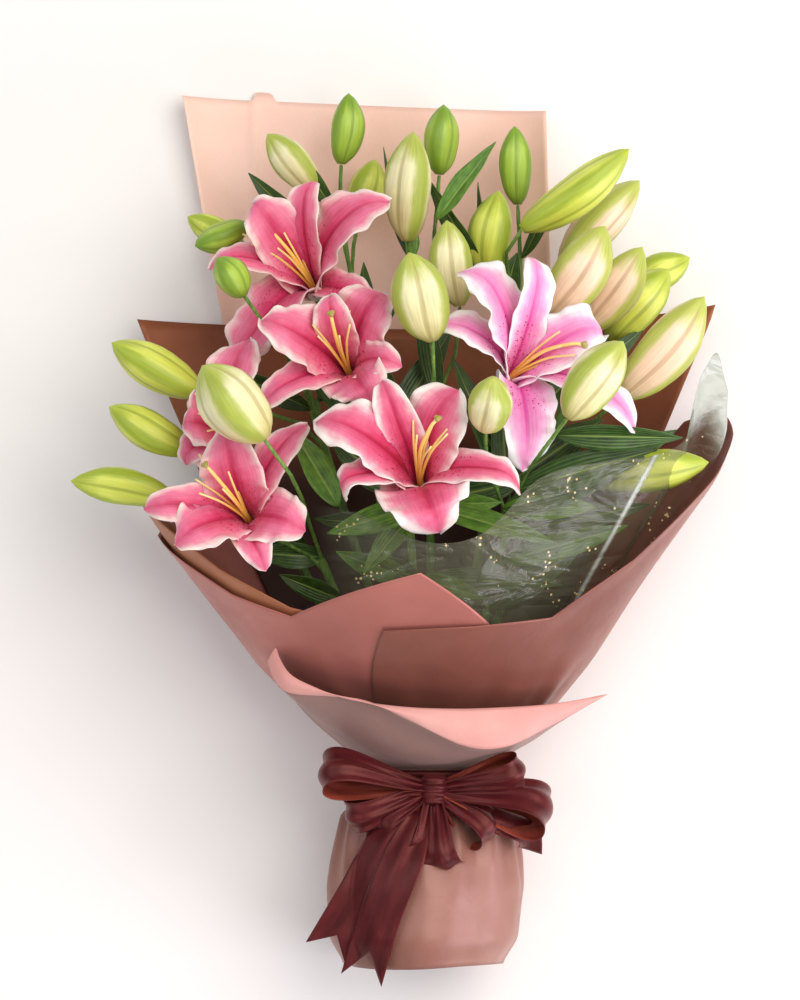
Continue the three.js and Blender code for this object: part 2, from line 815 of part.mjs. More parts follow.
// An oval of ribbon, pinched where it enters the knot.
function bowLoop({ turn, pitch, reach, depth, width }) {
  const steps = 12;
  const pose = new THREE.Matrix4().makeRotationZ(THREE.MathUtils.degToRad(turn));
  pose.multiply(new THREE.Matrix4().makeRotationY(THREE.MathUtils.degToRad(-pitch)));
  pose.multiply(new THREE.Matrix4().makeTranslation(reach - knotRadius / 2, 0, 0));
  const grid = [-0.5, 0, 0.5].map((share) => {
    const row = [];
    for (let c = 0; c < steps; c++) {
      const angle = (c / steps) * 2 * Math.PI;
      const pinch = 0.72 + 0.28 * Math.cos(angle);
      const [x, y, z] = [reach * Math.cos(angle), share * width * pinch, depth * pinch * Math.sin(angle)];
      row.push(new THREE.Vector3(x, y, z).applyMatrix4(pose));
    }
    return row;
  });
  return sheet(grid, ribbonThickness, true);
}

function ribbonBow() {
  const outline = [
    [0, -1],
    [0.7, -0.85],
    [1, -0.35],
    [1, 0.35],
    [0.7, 0.85],
    [0, 1],
  ];
  const profile = outline.map(([r, h]) => new THREE.Vector2(r * knotRadius, h * knotHalfLength));
  const pieces = [new THREE.LatheGeometry(profile, 8), ...bowLoops.map(bowLoop)];
  return joined(pieces);
}

// The tails lie down over the front of the skirt and past its hem.
const tails = {
  ribbon_tail_left: { from: [-8, -31], to: [-97, -164], lift: 6.8, width: 44, steps: 8 },
  ribbon_tail_right: { from: [-2, -32], to: [-63, -188], lift: 9.6, width: 42, steps: 8 },
};

function ribbonTail({ from, to, lift, width, steps }) {
  const start = new THREE.Vector2(...from);
  const way = new THREE.Vector2(...to).sub(start);
  const side = new THREE.Vector2(-way.y, way.x).normalize();
  const grid = [];
  for (let i = 0; i <= steps; i++) {
    const t = i / steps;
    const middle = start.clone().addScaledVector(way, t);
    const half = (width / 2) * Math.min(1, 0.45 + 2 * t);
    grid.push(
      [-1, -0.33, 0.33, 1].map((share) => {
        const at = middle.clone().addScaledVector(side, -share * half);
        return new THREE.Vector3(at.x, at.y, skirtFront(at.x, at.y) + lift);
      }),
    );
  }
  return sheet(grid, ribbonThickness);
}

// ---- the bunch ----

for (const [name, bud] of Object.entries(buds)) addBud(name, bud);
for (const [name, flower] of Object.entries(flowers)) addBloom(name, flower);
for (const [name, stem] of Object.entries(stems)) addStem(name, stem);
for (const [name, leaf] of Object.entries(leaves)) addLeaf(name, leaf);
for (const [name, wrap] of Object.entries(wraps)) addPiece(name, coneSheet(wrap), wrap.colour, 0.8);
addPiece("inner_sheet", innerSheet(), colours.copperPaper, 0.8);
addPiece("back_sheet", backSheet(), colours.backPaper, 0.8);
addPiece("low_collar", lowCollar(), colours.outerPaper, 0.8);
addPiece("skirt_right", skirtSheet(-ringColumns / 4, ringColumns / 4), colours.outerPaper, 0.8);
addPiece("skirt_left", skirtSheet(ringColumns / 4, (3 * ringColumns) / 4), colours.outerPaper, 0.8);
addPiece("cellophane", cellophane(), colours.cellophane, 0.15);
const twine = waistBand(twineRadius, twineRadius, twineWidth, twineThickness);
addPiece("stem_tie", twine, colours.twine, 0.9);
const band = waistBand(bandHalf.width, bandHalf.height, ribbonWidth, ribbonThickness);
addPiece("ribbon_band", band, colours.ribbon);
addPiece("ribbon_bow", ribbonBow(), colours.ribbon).position.copy(knotPlace);
for (const [name, ribbon] of Object.entries(tails)) addPiece(name, ribbonTail(ribbon), colours.ribbon);

// The origin is under the middle of the box.
bunch.updateMatrixWorld(true);
const box = new THREE.Box3().setFromObject(bunch, true);
const centre = box.getCenter(new THREE.Vector3());
bunch.position.set(-centre.x, -centre.y, -box.min.z);

export default bunch;
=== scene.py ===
# A hand-tied bunch of oriental lilies in florist's paper with a satin bow, lying on its back.
import math
import random

import bmesh
import bpy
import numpy as np
from mathutils import Matrix, Vector


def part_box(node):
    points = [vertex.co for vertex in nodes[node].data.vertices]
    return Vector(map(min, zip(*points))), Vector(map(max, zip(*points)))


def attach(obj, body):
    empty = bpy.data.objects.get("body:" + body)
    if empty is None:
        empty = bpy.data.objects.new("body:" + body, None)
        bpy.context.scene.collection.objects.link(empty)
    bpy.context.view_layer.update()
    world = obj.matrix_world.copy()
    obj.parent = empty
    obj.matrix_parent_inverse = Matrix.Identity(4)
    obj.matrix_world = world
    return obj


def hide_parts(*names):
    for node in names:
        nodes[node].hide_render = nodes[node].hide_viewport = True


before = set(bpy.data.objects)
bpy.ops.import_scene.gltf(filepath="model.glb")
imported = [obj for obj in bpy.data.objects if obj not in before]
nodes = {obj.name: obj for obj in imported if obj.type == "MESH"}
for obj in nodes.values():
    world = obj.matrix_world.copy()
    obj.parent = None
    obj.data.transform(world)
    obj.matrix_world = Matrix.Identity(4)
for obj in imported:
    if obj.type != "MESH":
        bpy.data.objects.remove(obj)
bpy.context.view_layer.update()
scene = bpy.context.scene

# Places are in millimetres: X and Y from the middle of the tie, Z from the surface the bunch lies on.
tieLow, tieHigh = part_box("stem_tie")
waist = np.array([0.0, -14.0, 78.0])
waistWorld = np.array((tieLow + tieHigh) / 2)


def toWorld(points):
    return (np.asarray(points, float) - waist) / 1000 + waistWorld


def toLocal(points):
    return (np.asarray(points, float) - waistWorld) * 1000 + waist


def unit(vectors):
    vectors = np.asarray(vectors, float)
    return vectors / np.maximum(np.linalg.norm(vectors, axis=-1, keepdims=True), 1e-9)


def smooth(x, low, high):
    share = np.clip((np.asarray(x, float) - low) / (high - low), 0, 1)
    return share * share * (3 - 2 * share)


# Straight lines through [x, value] points, with their corners rounded over a little distance.
def through(points, x, rounding=0):
    xs, values = np.array(points, float).T
    x = np.asarray(x, float)
    if not rounding:
        return np.interp(x, xs, values)
    return np.mean([np.interp(x + d, xs, values) for d in np.linspace(-rounding, rounding, 5)], axis=0)


# A smooth curve through rows of points, along the first axis.
def spline(points, count):
    points = np.asarray(points, float)
    padded = np.concatenate([[2 * points[0] - points[1]], points, [2 * points[-1] - points[-2]]])
    place = np.linspace(0, len(points) - 1, count)
    start = np.minimum(place.astype(int), len(points) - 2)
    t = (place - start).reshape((-1,) + (1,) * (points.ndim - 1))
    a, b, c, d = (padded[start + k] for k in range(4))
    return 0.5 * (2 * b + (c - a) * t + (2 * a - 5 * b + 4 * c - d) * t**2 + (3 * b - a - 3 * c + d) * t**3)


def evenly(path, count):
    steps = np.linalg.norm(np.diff(path, axis=0), axis=1)
    length = np.concatenate([[0], np.cumsum(steps)])
    wanted = np.linspace(0, length[-1], count)
    return np.stack([np.interp(wanted, length, path[:, k]) for k in range(3)], axis=1)


# A part is (points, faces, a UV for every face corner, material index).
def gridPart(grid, closed=False, material=0):
    rows, columns = grid.shape[:2]
    faces, corners = [], []
    span = columns if closed else columns - 1
    for r in range(rows - 1):
        for c in range(span):
            n = (c + 1) % columns
            faces.append([r * columns + c, r * columns + n, (r + 1) * columns + n, (r + 1) * columns + c])
            corners += [(c / span, r / (rows - 1)), ((c + 1) / span, r / (rows - 1))]
            corners += [((c + 1) / span, (r + 1) / (rows - 1)), (c / span, (r + 1) / (rows - 1))]
    return grid.reshape(-1, 3), faces, corners, material


# Closed rings with a lid at both ends.
def loftPart(rings, material=0):
    points, faces, corners, _ = gridPart(rings, closed=True)
    rows, columns = rings.shape[:2]
    points = np.concatenate([points, [rings[0].mean(0), rings[-1].mean(0)]])
    for c in range(columns):
        n = (c + 1) % columns
        last = (rows - 1) * columns
        faces.append([n, c, rows * columns])
        corners += [((c + 1) / columns, 0), (c / columns, 0), ((c + 0.5) / columns, 0)]
        faces.append([last + c, last + n, rows * columns + 1])
        corners += [(c / columns, 1), ((c + 1) / columns, 1), ((c + 0.5) / columns, 1)]
    return points, faces, corners, material


def tubePart(path, radii, sides=8, material=0):
    path = np.asarray(path, float)
    radii = np.broadcast_to(radii, len(path))
    along = unit(np.gradient(path, axis=0))
    side = unit(np.cross(along[0], [0.3, 0.2, 0.93]))
    rings = []
    turns = np.arange(sides) / sides * 2 * math.pi
    for point, way, radius in zip(path, along, radii):
        side = unit(side - way * (side @ way))
        other = np.cross(way, side)
        rings.append(point + radius * (np.outer(np.cos(turns), side) + np.outer(np.sin(turns), other)))
    return loftPart(np.array(rings), material)


def addPiece(name, parts, materials, replaced=(), outward=False):
    points, faces, corners, indices, first = [], [], [], [], 0
    for partPoints, partFaces, partCorners, material in parts:
        points.append(partPoints)
        faces += [[first + i for i in face] for face in partFaces]
        corners += partCorners
        indices += [material] * len(partFaces)
        first += len(partPoints)
    mesh = bpy.data.meshes.new(name)
    mesh.from_pydata([tuple(p) for p in toWorld(np.concatenate(points))], [], faces)
    mesh.uv_layers.new(name="UVMap").data.foreach_set("uv", np.array(corners, np.float32).ravel())
    mesh.polygons.foreach_set("material_index", indices)
    if outward:
        turnOutward(mesh)
    for material in materials:
        mesh.materials.append(material)
    mesh.shade_smooth()
    piece = bpy.data.objects.new(name, mesh)
    scene.collection.objects.link(piece)
    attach(piece, "root")
    if replaced:
        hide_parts(*replaced)
    return piece


def turnOutward(mesh):
    work = bmesh.new()
    work.from_mesh(mesh)
    bmesh.ops.recalc_face_normals(work, faces=work.faces)
    work.to_mesh(mesh)
    work.free()


def thicken(piece, thickness, offset=0.0, backMaterial=0):
    solid = piece.modifiers.new("thickness", "SOLIDIFY")
    solid.thickness = thickness / 1000
    solid.offset = offset
    solid.material_offset = backMaterial
    solid.material_offset_rim = 0
    return piece


def toLinear(colour):
    parts = [int(colour[i:i + 2], 16) / 255 for i in (1, 3, 5)]
    return [p / 12.92 if p <= 0.04045 else ((p + 0.055) / 1.055) ** 2.4 for p in parts] + [1.0]


# Adds a node, sets and links its inputs, and returns one of its outputs. A text value is a colour, stops are a
# ramp's colours, and stretch is how fine a pattern is each way: features per metre, or per UV side.
def add(tree, kind, inputs=None, out=0, stops=None, stretch=None, **settings):
    node = tree.nodes.new("ShaderNode" + kind)
    if stretch:
        inputs = {**inputs, "Vector": add(tree, "Mapping", {0: inputs["Vector"], 3: stretch})}
    for key, value in settings.items():
        setattr(node, key, value)
    for key, value in (inputs or {}).items():
        if isinstance(value, bpy.types.NodeSocket):
            tree.links.new(value, node.inputs[key])
        else:
            node.inputs[key].default_value = toLinear(value) if isinstance(value, str) else value
    if stops:
        ramp = node.color_ramp
        while len(ramp.elements) < len(stops):
            ramp.elements.new(0.5)
        for element, (position, colour) in zip(ramp.elements, stops):
            element.position = position
            element.color = toLinear(colour)
    return node.outputs[out]


def startMaterial(name, **shader):
    material = bpy.data.materials.new(name)
    material.use_nodes = True
    tree = material.node_tree
    principled = tree.nodes["Principled BSDF"]
    for key, value in shader.items():
        principled.inputs[key].default_value = toLinear(value) if isinstance(value, str) else value
    return material, tree, principled


def finishMaterial(tree, principled, links):
    for key, socket in links.items():
        tree.links.new(socket, principled.inputs[key])


# The UV, its two parts, and how near the surface point is to a side edge: 0 on the middle line, 1 on the edge.
def surfacePlace(tree):
    uv = add(tree, "TexCoord", out=2)
    across, along = (add(tree, "SeparateXYZ", {0: uv}, out=part) for part in (0, 1))
    signed = add(tree, "Math", {0: across, 1: 2.0, 2: -1.0}, operation="MULTIPLY_ADD")
    return uv, across, along, add(tree, "Math", {0: signed}, operation="ABSOLUTE")


# Oriental lily tepal, a living waxy skin: soft sheen, light glowing through, a white wavy margin.
# The colour runs by UV, across from edge to edge and along from the throat to the tip.
def tepalMaterial(name, look):
    material, tree, shader = startMaterial(name, **{
        "Roughness": 0.46, "IOR": 1.4, "Subsurface Weight": 0.28, "Subsurface Scale": 0.004,
        "Subsurface Radius": (1.0, 0.45, 0.4), "Sheen Weight": 0.12, "Sheen Roughness": 0.5})
    uv, _, along, edge = surfacePlace(tree)
    # soft blotches about 8 mm across blur the borders between the colours
    blotch = add(tree, "TexNoise", {"Vector": uv, "Scale": 1.0, "Detail": 2.0}, stretch=(5, 11, 1))
    edgeSoft = add(tree, "Math", {0: blotch, 1: 0.5, 2: edge}, operation="MULTIPLY_ADD")
    tipward = add(tree, "Math", {0: along, 1: 3.0}, operation="POWER")
    marginPlace = add(tree, "Math", {0: tipward, 1: look["tipWhite"], 2: edgeSoft}, operation="MULTIPLY_ADD")
    margin = add(tree, "MapRange", {0: marginPlace, 1: look["marginFrom"], 2: look["marginTo"]},
                 interpolation_type="SMOOTHSTEP")
    paler = add(tree, "Math", {0: along, 1: 0.62}, operation="MULTIPLY")  # towards the tip
    depthPlace = add(tree, "Math", {0: edgeSoft, 1: 0.75, 2: paler}, operation="MULTIPLY_ADD")
    body = add(tree, "ValToRGB", {0: depthPlace},
               stops=[(0.3, look["deep"]), (0.62, look["main"]), (1.0, look["light"])])
    rib = add(tree, "MapRange", {0: edge, 1: 0.13, 2: 0.0}, interpolation_type="SMOOTHSTEP")
    ribFade = add(tree, "MapRange", {0: along, 1: 0.95, 2: 0.45}, interpolation_type="SMOOTHSTEP")
    ribStrength = add(tree, "Math", {0: ribFade, 1: 0.85}, operation="MULTIPLY")
    ribShare = add(tree, "Math", {0: rib, 1: ribStrength}, operation="MULTIPLY")
    colour = add(tree, "Mix", {0: ribShare, 6: body, 7: look["rib"]}, out=2, data_type="RGBA")
    colour = add(tree, "Mix", {0: margin, 6: colour, 7: look["margin"]}, out=2, data_type="RGBA")
    # the lengthwise veins are about 1 mm apart
    veins = add(tree, "TexNoise", {"Vector": uv, "Scale": 1.0, "Detail": 1.0}, stretch=(46, 2.2, 1))
    veinShade = add(tree, "MapRange", {0: veins, 1: 0.35, 2: 0.65, 3: 0.9, 4: 1.06})
    colour = add(tree, "Mix", {0: 1.0, 6: colour, 7: veinShade}, out=2, data_type="RGBA",
                 blend_type="MULTIPLY")
    # crimson freckles 1 to 2 mm across on the lower half
    cells = add(tree, "TexVoronoi", {"Vector": uv, "Scale": 1.0}, stretch=(15, 38, 1))
    freckle = add(tree, "MapRange", {0: cells, 1: 0.3, 2: 0.16}, interpolation_type="SMOOTHSTEP")
    zoneAlong = add(tree, "MapRange", {0: along, 1: 0.66, 2: 0.4}, interpolation_type="SMOOTHSTEP")
    zoneAcross = add(tree, "MapRange", {0: edge, 1: 0.78, 2: 0.5}, interpolation_type="SMOOTHSTEP")
    zone = add(tree, "Math", {0: zoneAlong, 1: zoneAcross}, operation="MULTIPLY")
    freckle = add(tree, "Math", {0: freckle, 1: zone}, operation="MULTIPLY")
    freckleShare = add(tree, "Math", {0: freckle, 1: 0.62}, operation="MULTIPLY")
    colour = add(tree, "Mix", {0: freckleShare, 6: colour, 7: look["freckle"]}, out=2, data_type="RGBA")
    throat = add(tree, "MapRange", {0: along, 1: 0.12, 2: 0.02}, interpolation_type="SMOOTHSTEP")
    colour = add(tree, "Mix", {0: throat, 6: colour, 7: "#C9D08A"}, out=2, data_type="RGBA")
    height = add(tree, "Math", {0: freckle, 1: 0.7, 2: veins}, operation="MULTIPLY_ADD")
    bump = add(tree, "Bump", {"Strength": 0.35, "Distance": 0.0006, "Height": height})
    finishMaterial(tree, shader, {"Base Color": colour, "Normal": bump})
    return material


# The outside of a tepal: the same skin, paler, with a greenish midrib.
def tepalBackMaterial(name, look):
    material, tree, shader = startMaterial(name, **{
        "Roughness": 0.5, "IOR": 1.4, "Subsurface Weight": 0.28, "Subsurface Scale": 0.004,
        "Subsurface Radius": (1.0, 0.5, 0.45), "Sheen Weight": 0.12, "Sheen Roughness": 0.5})
    uv, _, along, edge = surfacePlace(tree)
    blotch = add(tree, "TexNoise", {"Vector": uv, "Scale": 1.0, "Detail": 2.0}, stretch=(5, 9, 1))
    place = add(tree, "Math", {0: blotch, 1: 0.5, 2: edge}, operation="MULTIPLY_ADD")
    body = add(tree, "ValToRGB", {0: place},
               stops=[(0.2, look["back"]), (0.75, look["light"]), (1.0, look["margin"])])
    rib = add(tree, "MapRange", {0: edge, 1: 0.12, 2: 0.02, 4: 0.7}, interpolation_type="SMOOTHSTEP")
    ribColour = add(tree, "ValToRGB", {0: along}, stops=[(0.1, "#A9B860"), (0.6, "#D9A98F"), (0.95, "#C8C47A")])
    colour = add(tree, "Mix", {0: rib, 6: body, 7: ribColour}, out=2, data_type="RGBA")
    veins = add(tree, "TexNoise", {"Vector": uv, "Scale": 1.0}, stretch=(46, 2.2, 1))
    bump = add(tree, "Bump", {"Strength": 0.3, "Distance": 0.0005, "Height": veins})
    finishMaterial(tree, shader, {"Base Color": colour, "Normal": bump})
    return material


petalLooks = {
    "rose": {"rib": "#AE1044", "deep": "#BE1C50", "main": "#D03C6A", "light": "#E87898", "margin": "#FBE6DC",
             "freckle": "#A81A4A", "back": "#E58AA0", "tipWhite": 0.3, "marginFrom": 0.9, "marginTo": 1.52},
    "violet": {"rib": "#D83C9C", "deep": "#E4509A", "main": "#EE7DBA", "light": "#F7ACD3", "margin": "#FCF5F4",
               "freckle": "#C22E86", "back": "#F0A9CC", "tipWhite": 0.55, "marginFrom": 0.88, "marginTo": 1.4},
    "crimson": {"rib": "#A80C36", "deep": "#A80E36", "main": "#CE3062", "light": "#E67494", "margin": "#FBEAE4",
                "freckle": "#8E1030", "back": "#E8A0AE", "tipWhite": 0.5, "marginFrom": 0.9, "marginTo": 1.48},
}
petalMaterials = {key: (tepalMaterial("lily tepal " + key, look),
                        tepalBackMaterial("lily tepal outside " + key, look)) for key, look in petalLooks.items()}


# Filaments and style: smooth fleshy threads, deep yellow at the root and paler at the tip.
def stamenMaterial():
    material, tree, shader = startMaterial("lily filament", **{
        "Roughness": 0.38, "IOR": 1.4, "Subsurface Weight": 0.3, "Subsurface Scale": 0.002})
    along = add(tree, "SeparateXYZ", {0: add(tree, "TexCoord", out=2)}, out=1)
    colour = add(tree, "ValToRGB", {0: along}, stops=[(0.0, "#E3A846"), (0.45, "#F4CA62"), (1.0, "#F8E39C")])
    finishMaterial(tree, shader, {"Base Color": colour})
    return material


filamentMaterial = stamenMaterial()
stigmaMaterial = startMaterial("lily stigma", **{"Base Color": "#A8A04E", "Roughness": 0.35, "Coat Weight": 0.4})[0]
papillaMaterial = startMaterial("lily papilla", **{
    "Base Color": "#A3174A", "Roughness": 0.45, "Subsurface Weight": 0.2, "Subsurface Scale": 0.001})[0]


# Closed lily bud: waxy skin with three raised green ribs, cream or pink between them.
def budMaterial(name, look):
    material, tree, shader = startMaterial(name, **{
        "Roughness": 0.4, "IOR": 1.42, "Subsurface Weight": 0.25, "Subsurface Scale": 0.004,
        "Subsurface Radius": (0.9, 0.9, 0.4), "Coat Weight": 0.12, "Coat Roughness": 0.35})
    uv, around, along, _ = surfacePlace(tree)
    turn = add(tree, "Math", {0: around, 1: 6 * math.pi}, operation="MULTIPLY")
    wave = add(tree, "Math", {0: turn}, operation="COSINE")  # 1 on a rib, -1 on a seam
    blotch = add(tree, "TexNoise", {"Vector": uv, "Scale": 1.0, "Detail": 3.0}, stretch=(9, 4, 1))
    place = add(tree, "Math", {0: blotch, 1: 0.8, 2: wave}, operation="MULTIPLY_ADD")
    ribShare = add(tree, "MapRange", {0: place, 1: 0.55, 2: 1.3}, interpolation_type="SMOOTHSTEP")
    skin = add(tree, "ValToRGB", {0: add(tree, "Math", {0: blotch, 1: 0.25, 2: along}, operation="MULTIPLY_ADD")},
               stops=[(0.1, look["base"]), (0.4, look["middle"]), (0.8, look["upper"]), (1.08, look["tip"])])
    colour = add(tree, "Mix", {0: ribShare, 6: skin, 7: look["rib"]}, out=2, data_type="RGBA")
    seam = add(tree, "MapRange", {0: wave, 1: -0.9, 2: -1.0, 4: 0.55}, interpolation_type="SMOOTHSTEP")
    colour = add(tree, "Mix", {0: seam, 6: colour, 7: look["seam"]}, out=2, data_type="RGBA")
    tip = add(tree, "MapRange", {0: along, 1: 0.86, 2: 1.0}, interpolation_type="SMOOTHSTEP")
    colour = add(tree, "Mix", {0: tip, 6: colour, 7: look["tip"]}, out=2, data_type="RGBA")
    # fine lengthwise veins about 1 mm apart
    veins = add(tree, "TexNoise", {"Vector": uv, "Scale": 1.0, "Detail": 1.0}, stretch=(90, 3, 1))
    shade = add(tree, "MapRange", {0: veins, 1: 0.3, 2: 0.7, 3: 0.9, 4: 1.08})
    colour = add(tree, "Mix", {0: 1.0, 6: colour, 7: shade}, out=2, data_type="RGBA", blend_type="MULTIPLY")
    bump = add(tree, "Bump", {"Strength": 0.3, "Distance": 0.0005, "Height": veins})
    finishMaterial(tree, shader, {"Base Color": colour, "Normal": bump})
    return material


budLooks = {
    "green": {"base": "#7E9A34", "middle": "#9DBB3E", "upper": "#A9C64A", "tip": "#7FA433",
              "rib": "#7F9F30", "seam": "#6E8A28"},
    "yellow": {"base": "#A9B548", "middle": "#CBD552", "upper": "#D9E266", "tip": "#B6C548",
               "rib": "#A5B83A", "seam": "#8A9A30"},
    "cream": {"base": "#C0B86A", "middle": "#E4DDA6", "upper": "#EAE6B8", "tip": "#B7C25A",
              "rib": "#A9B64C", "seam": "#A89A5A"},
    "blush": {"base": "#CDBB80", "middle": "#EBCBAA", "upper": "#F0D9BC", "tip": "#B9C45C",
              "rib": "#B6BE58", "seam": "#B58F6C"},
}
budMaterials = {key: budMaterial("lily bud " + key, look) for key, look in budLooks.items()}


# Lily leaf: a tough glossy blade with parallel veins along it.
def leafMaterial(name, dark, light):
    material, tree, shader = startMaterial(name, **{
        "Roughness": 0.36, "IOR": 1.45, "Subsurface Weight": 0.08, "Subsurface Scale": 0.002,
        "Coat Weight": 0.15, "Coat Roughness": 0.3})
    uv, across, _, edge = surfacePlace(tree)
    # nine veins, 2 to 3 mm apart
    veinTurn = add(tree, "Math", {0: across, 1: 18 * math.pi}, operation="MULTIPLY")
    veins = add(tree, "Math", {0: veinTurn}, operation="COSINE")
    blotch = add(tree, "TexNoise", {"Vector": uv, "Scale": 1.0, "Detail": 3.0}, stretch=(4, 9, 1))
    body = add(tree, "ValToRGB", {0: blotch}, stops=[(0.3, dark), (0.7, light)])
    veinShare = add(tree, "MapRange", {0: veins, 1: 0.6, 2: 1.0, 4: 0.28})
    colour = add(tree, "Mix", {0: veinShare, 6: body, 7: "#86A84C"}, out=2, data_type="RGBA")
    rib = add(tree, "MapRange", {0: edge, 1: 0.09, 2: 0.0, 4: 0.7}, interpolation_type="SMOOTHSTEP")
    colour = add(tree, "Mix", {0: rib, 6: colour, 7: "#A6BF62"}, out=2, data_type="RGBA")
    bump = add(tree, "Bump", {"Strength": 0.4, "Distance": 0.0005, "Height": veins})
    finishMaterial(tree, shader, {"Base Color": colour, "Normal": bump})
    return material


leafDark = leafMaterial("lily leaf dark", "#1F3B14", "#3A5F22")
leafLight = leafMaterial("lily leaf bright", "#3F6A1E", "#6E9C34")


# Lily stem: smooth green skin with a bloom of paler streaks, and a pale cut face.
def stemMaterial():
    material, tree, shader = startMaterial("lily stem", **{
        "Roughness": 0.45, "IOR": 1.42, "Subsurface Weight": 0.1, "Subsurface Scale": 0.002})
    place = add(tree, "TexCoord", out=3)
    # the streaks are 2 to 3 mm apart, and the patches some 35 mm across
    streaks = add(tree, "TexNoise", {"Vector": place, "Scale": 1.0, "Detail": 2.0}, stretch=(420, 40, 420))
    patches = add(tree, "TexNoise", {"Vector": place, "Scale": 28.0, "Detail": 3.0})
    halfPatches = add(tree, "Math", {0: patches, 1: 0.5}, operation="MULTIPLY")
    mixed = add(tree, "Math", {0: streaks, 1: 0.5, 2: halfPatches}, operation="MULTIPLY_ADD")
    colour = add(tree, "ValToRGB", {0: mixed}, stops=[(0.34, "#45682A"), (0.5, "#648B3B"), (0.68, "#8FAE58")])
    bump = add(tree, "Bump", {"Strength": 0.25, "Distance": 0.0004, "Height": streaks})
    finishMaterial(tree, shader, {"Base Color": colour, "Normal": bump})
    return material


stemSkin = stemMaterial()
stemCut = startMaterial("cut stem pith", **{"Base Color": "#D3DBA8", "Roughness": 0.7})[0]


# Coated florist's paper: polypropylene film with a matte pearl coat, so a soft broad sheen on a flat colour,
# faint handling dents and a fine grain.
def paperMaterial(name, look):
    material, tree, shader = startMaterial(name, **{
        "Roughness": look["roughness"], "IOR": 1.49, "Metallic": look["pearl"], "Sheen Weight": 0.25,
        "Sheen Roughness": 0.45, "Sheen Tint": look["sheen"]})
    place = add(tree, "TexCoord", out=3)
    patches = add(tree, "TexNoise", {"Vector": place, "Scale": 7.0, "Detail": 3.0, "Roughness": 0.5})
    colour = add(tree, "ValToRGB", {0: patches},
                 stops=[(0.3, look["shade"]), (0.52, look["main"]), (0.74, look["light"])])
    if "below" in look:  # painted shade: darker below its upper edge, for the shade deep inside the bunch
        along = add(tree, "SeparateXYZ", {0: add(tree, "TexCoord", out=2)}, out=1)
        edgeward = add(tree, "MapRange", {0: along, 1: look["belowTo"] - 0.12, 2: look["belowTo"]},
                       interpolation_type="SMOOTHSTEP")
        colour = add(tree, "Mix", {0: edgeward, 6: look["below"], 7: colour}, out=2, data_type="RGBA")
    # the coat's grain is about 0.1 mm and is drawn at 0.6 mm so that it shows
    grain = add(tree, "TexNoise", {"Vector": place, "Scale": 1600.0, "Detail": 2.0})
    grainShade = add(tree, "MapRange", {0: grain, 1: 0.3, 2: 0.7, 3: 0.95, 4: 1.05})
    colour = add(tree, "Mix", {0: 1.0, 6: colour, 7: grainShade}, out=2, data_type="RGBA", blend_type="MULTIPLY")
    # handling dents about 30 mm apart
    dents = add(tree, "TexNoise", {"Vector": place, "Scale": 34.0, "Detail": 4.0, "Roughness": 0.55,
                                   "Distortion": 0.6})
    height = add(tree, "Math", {0: grain, 1: 0.05, 2: dents}, operation="MULTIPLY_ADD")
    bump = add(tree, "Bump", {"Strength": 0.32, "Distance": 0.0022, "Height": height})
    rough = add(tree, "MapRange", {0: dents, 1: 0.3, 2: 0.7, 3: look["roughness"] - 0.06,
                                   4: look["roughness"] + 0.08})
    finishMaterial(tree, shader, {"Base Color": colour, "Normal": bump, "Roughness": rough})
    return material


# colours from the hollows to the raised parts, the sheen's tint, and how much the pearl coat mirrors
paperLooks = {
    "rose": {"shade": "#9C5A50", "main": "#B06A60", "light": "#C07E73", "sheen": "#E8B8B4",
             "roughness": 0.42, "pearl": 0.25},
    # the same rose paper as wrap_left, painted darker and browner: painted shade for wrap_right, which lies in shade
    "rose in painted shade": {"shade": "#743E32", "main": "#884E40", "light": "#9C6354", "sheen": "#E6C4C0",
                   "roughness": 0.42, "pearl": 0.25},
    "dusty rose": {"shade": "#7C4E42", "main": "#8F5E51", "light": "#A27467", "sheen": "#F0D4D2",
                   "roughness": 0.4, "pearl": 0.08},
    "mauve": {"shade": "#80605A", "main": "#94726A", "light": "#A6847C", "sheen": "#E0C4C0",
              "roughness": 0.5, "pearl": 0.15},
    "blush": {"shade": "#D08C84", "main": "#DC9F97", "light": "#E8B4AC", "sheen": "#FFE0DA",
              "roughness": 0.54, "pearl": 0.05},
    # copper: the inner sheet's paper, with painted shade below its upper edge where the inside of the bunch is shaded
    "copper": {"shade": "#7A402A", "main": "#965636", "light": "#AC6C48", "sheen": "#C08464",
               "roughness": 0.48, "pearl": 0.2, "below": "#38190F", "belowTo": 0.93},
    "bright copper": {"shade": "#8A4C34", "main": "#A2603F", "light": "#B67650", "sheen": "#D8A88C",
                      "roughness": 0.46, "pearl": 0.2},
    "pale": {"shade": "#F0C2B0", "main": "#F6CCBB", "light": "#FAD8C8", "sheen": "#FFF0E8",
             "roughness": 0.55, "pearl": 0.02},
}
paperMaterials = {key: paperMaterial("coated florist paper " + key, look) for key, look in paperLooks.items()}


# the doubled fold's two ends and half the width of the pale line painted along it as a highlight, in metres, how
# cloudy the film is, and its upper right lobe
film = {"foldFrom": (126, 144), "foldTo": (202, 283), "foldWidth": 0.0035, "haze": (0.1, 0.36), "lobe": 0.78,
        "thickness": 0.08}
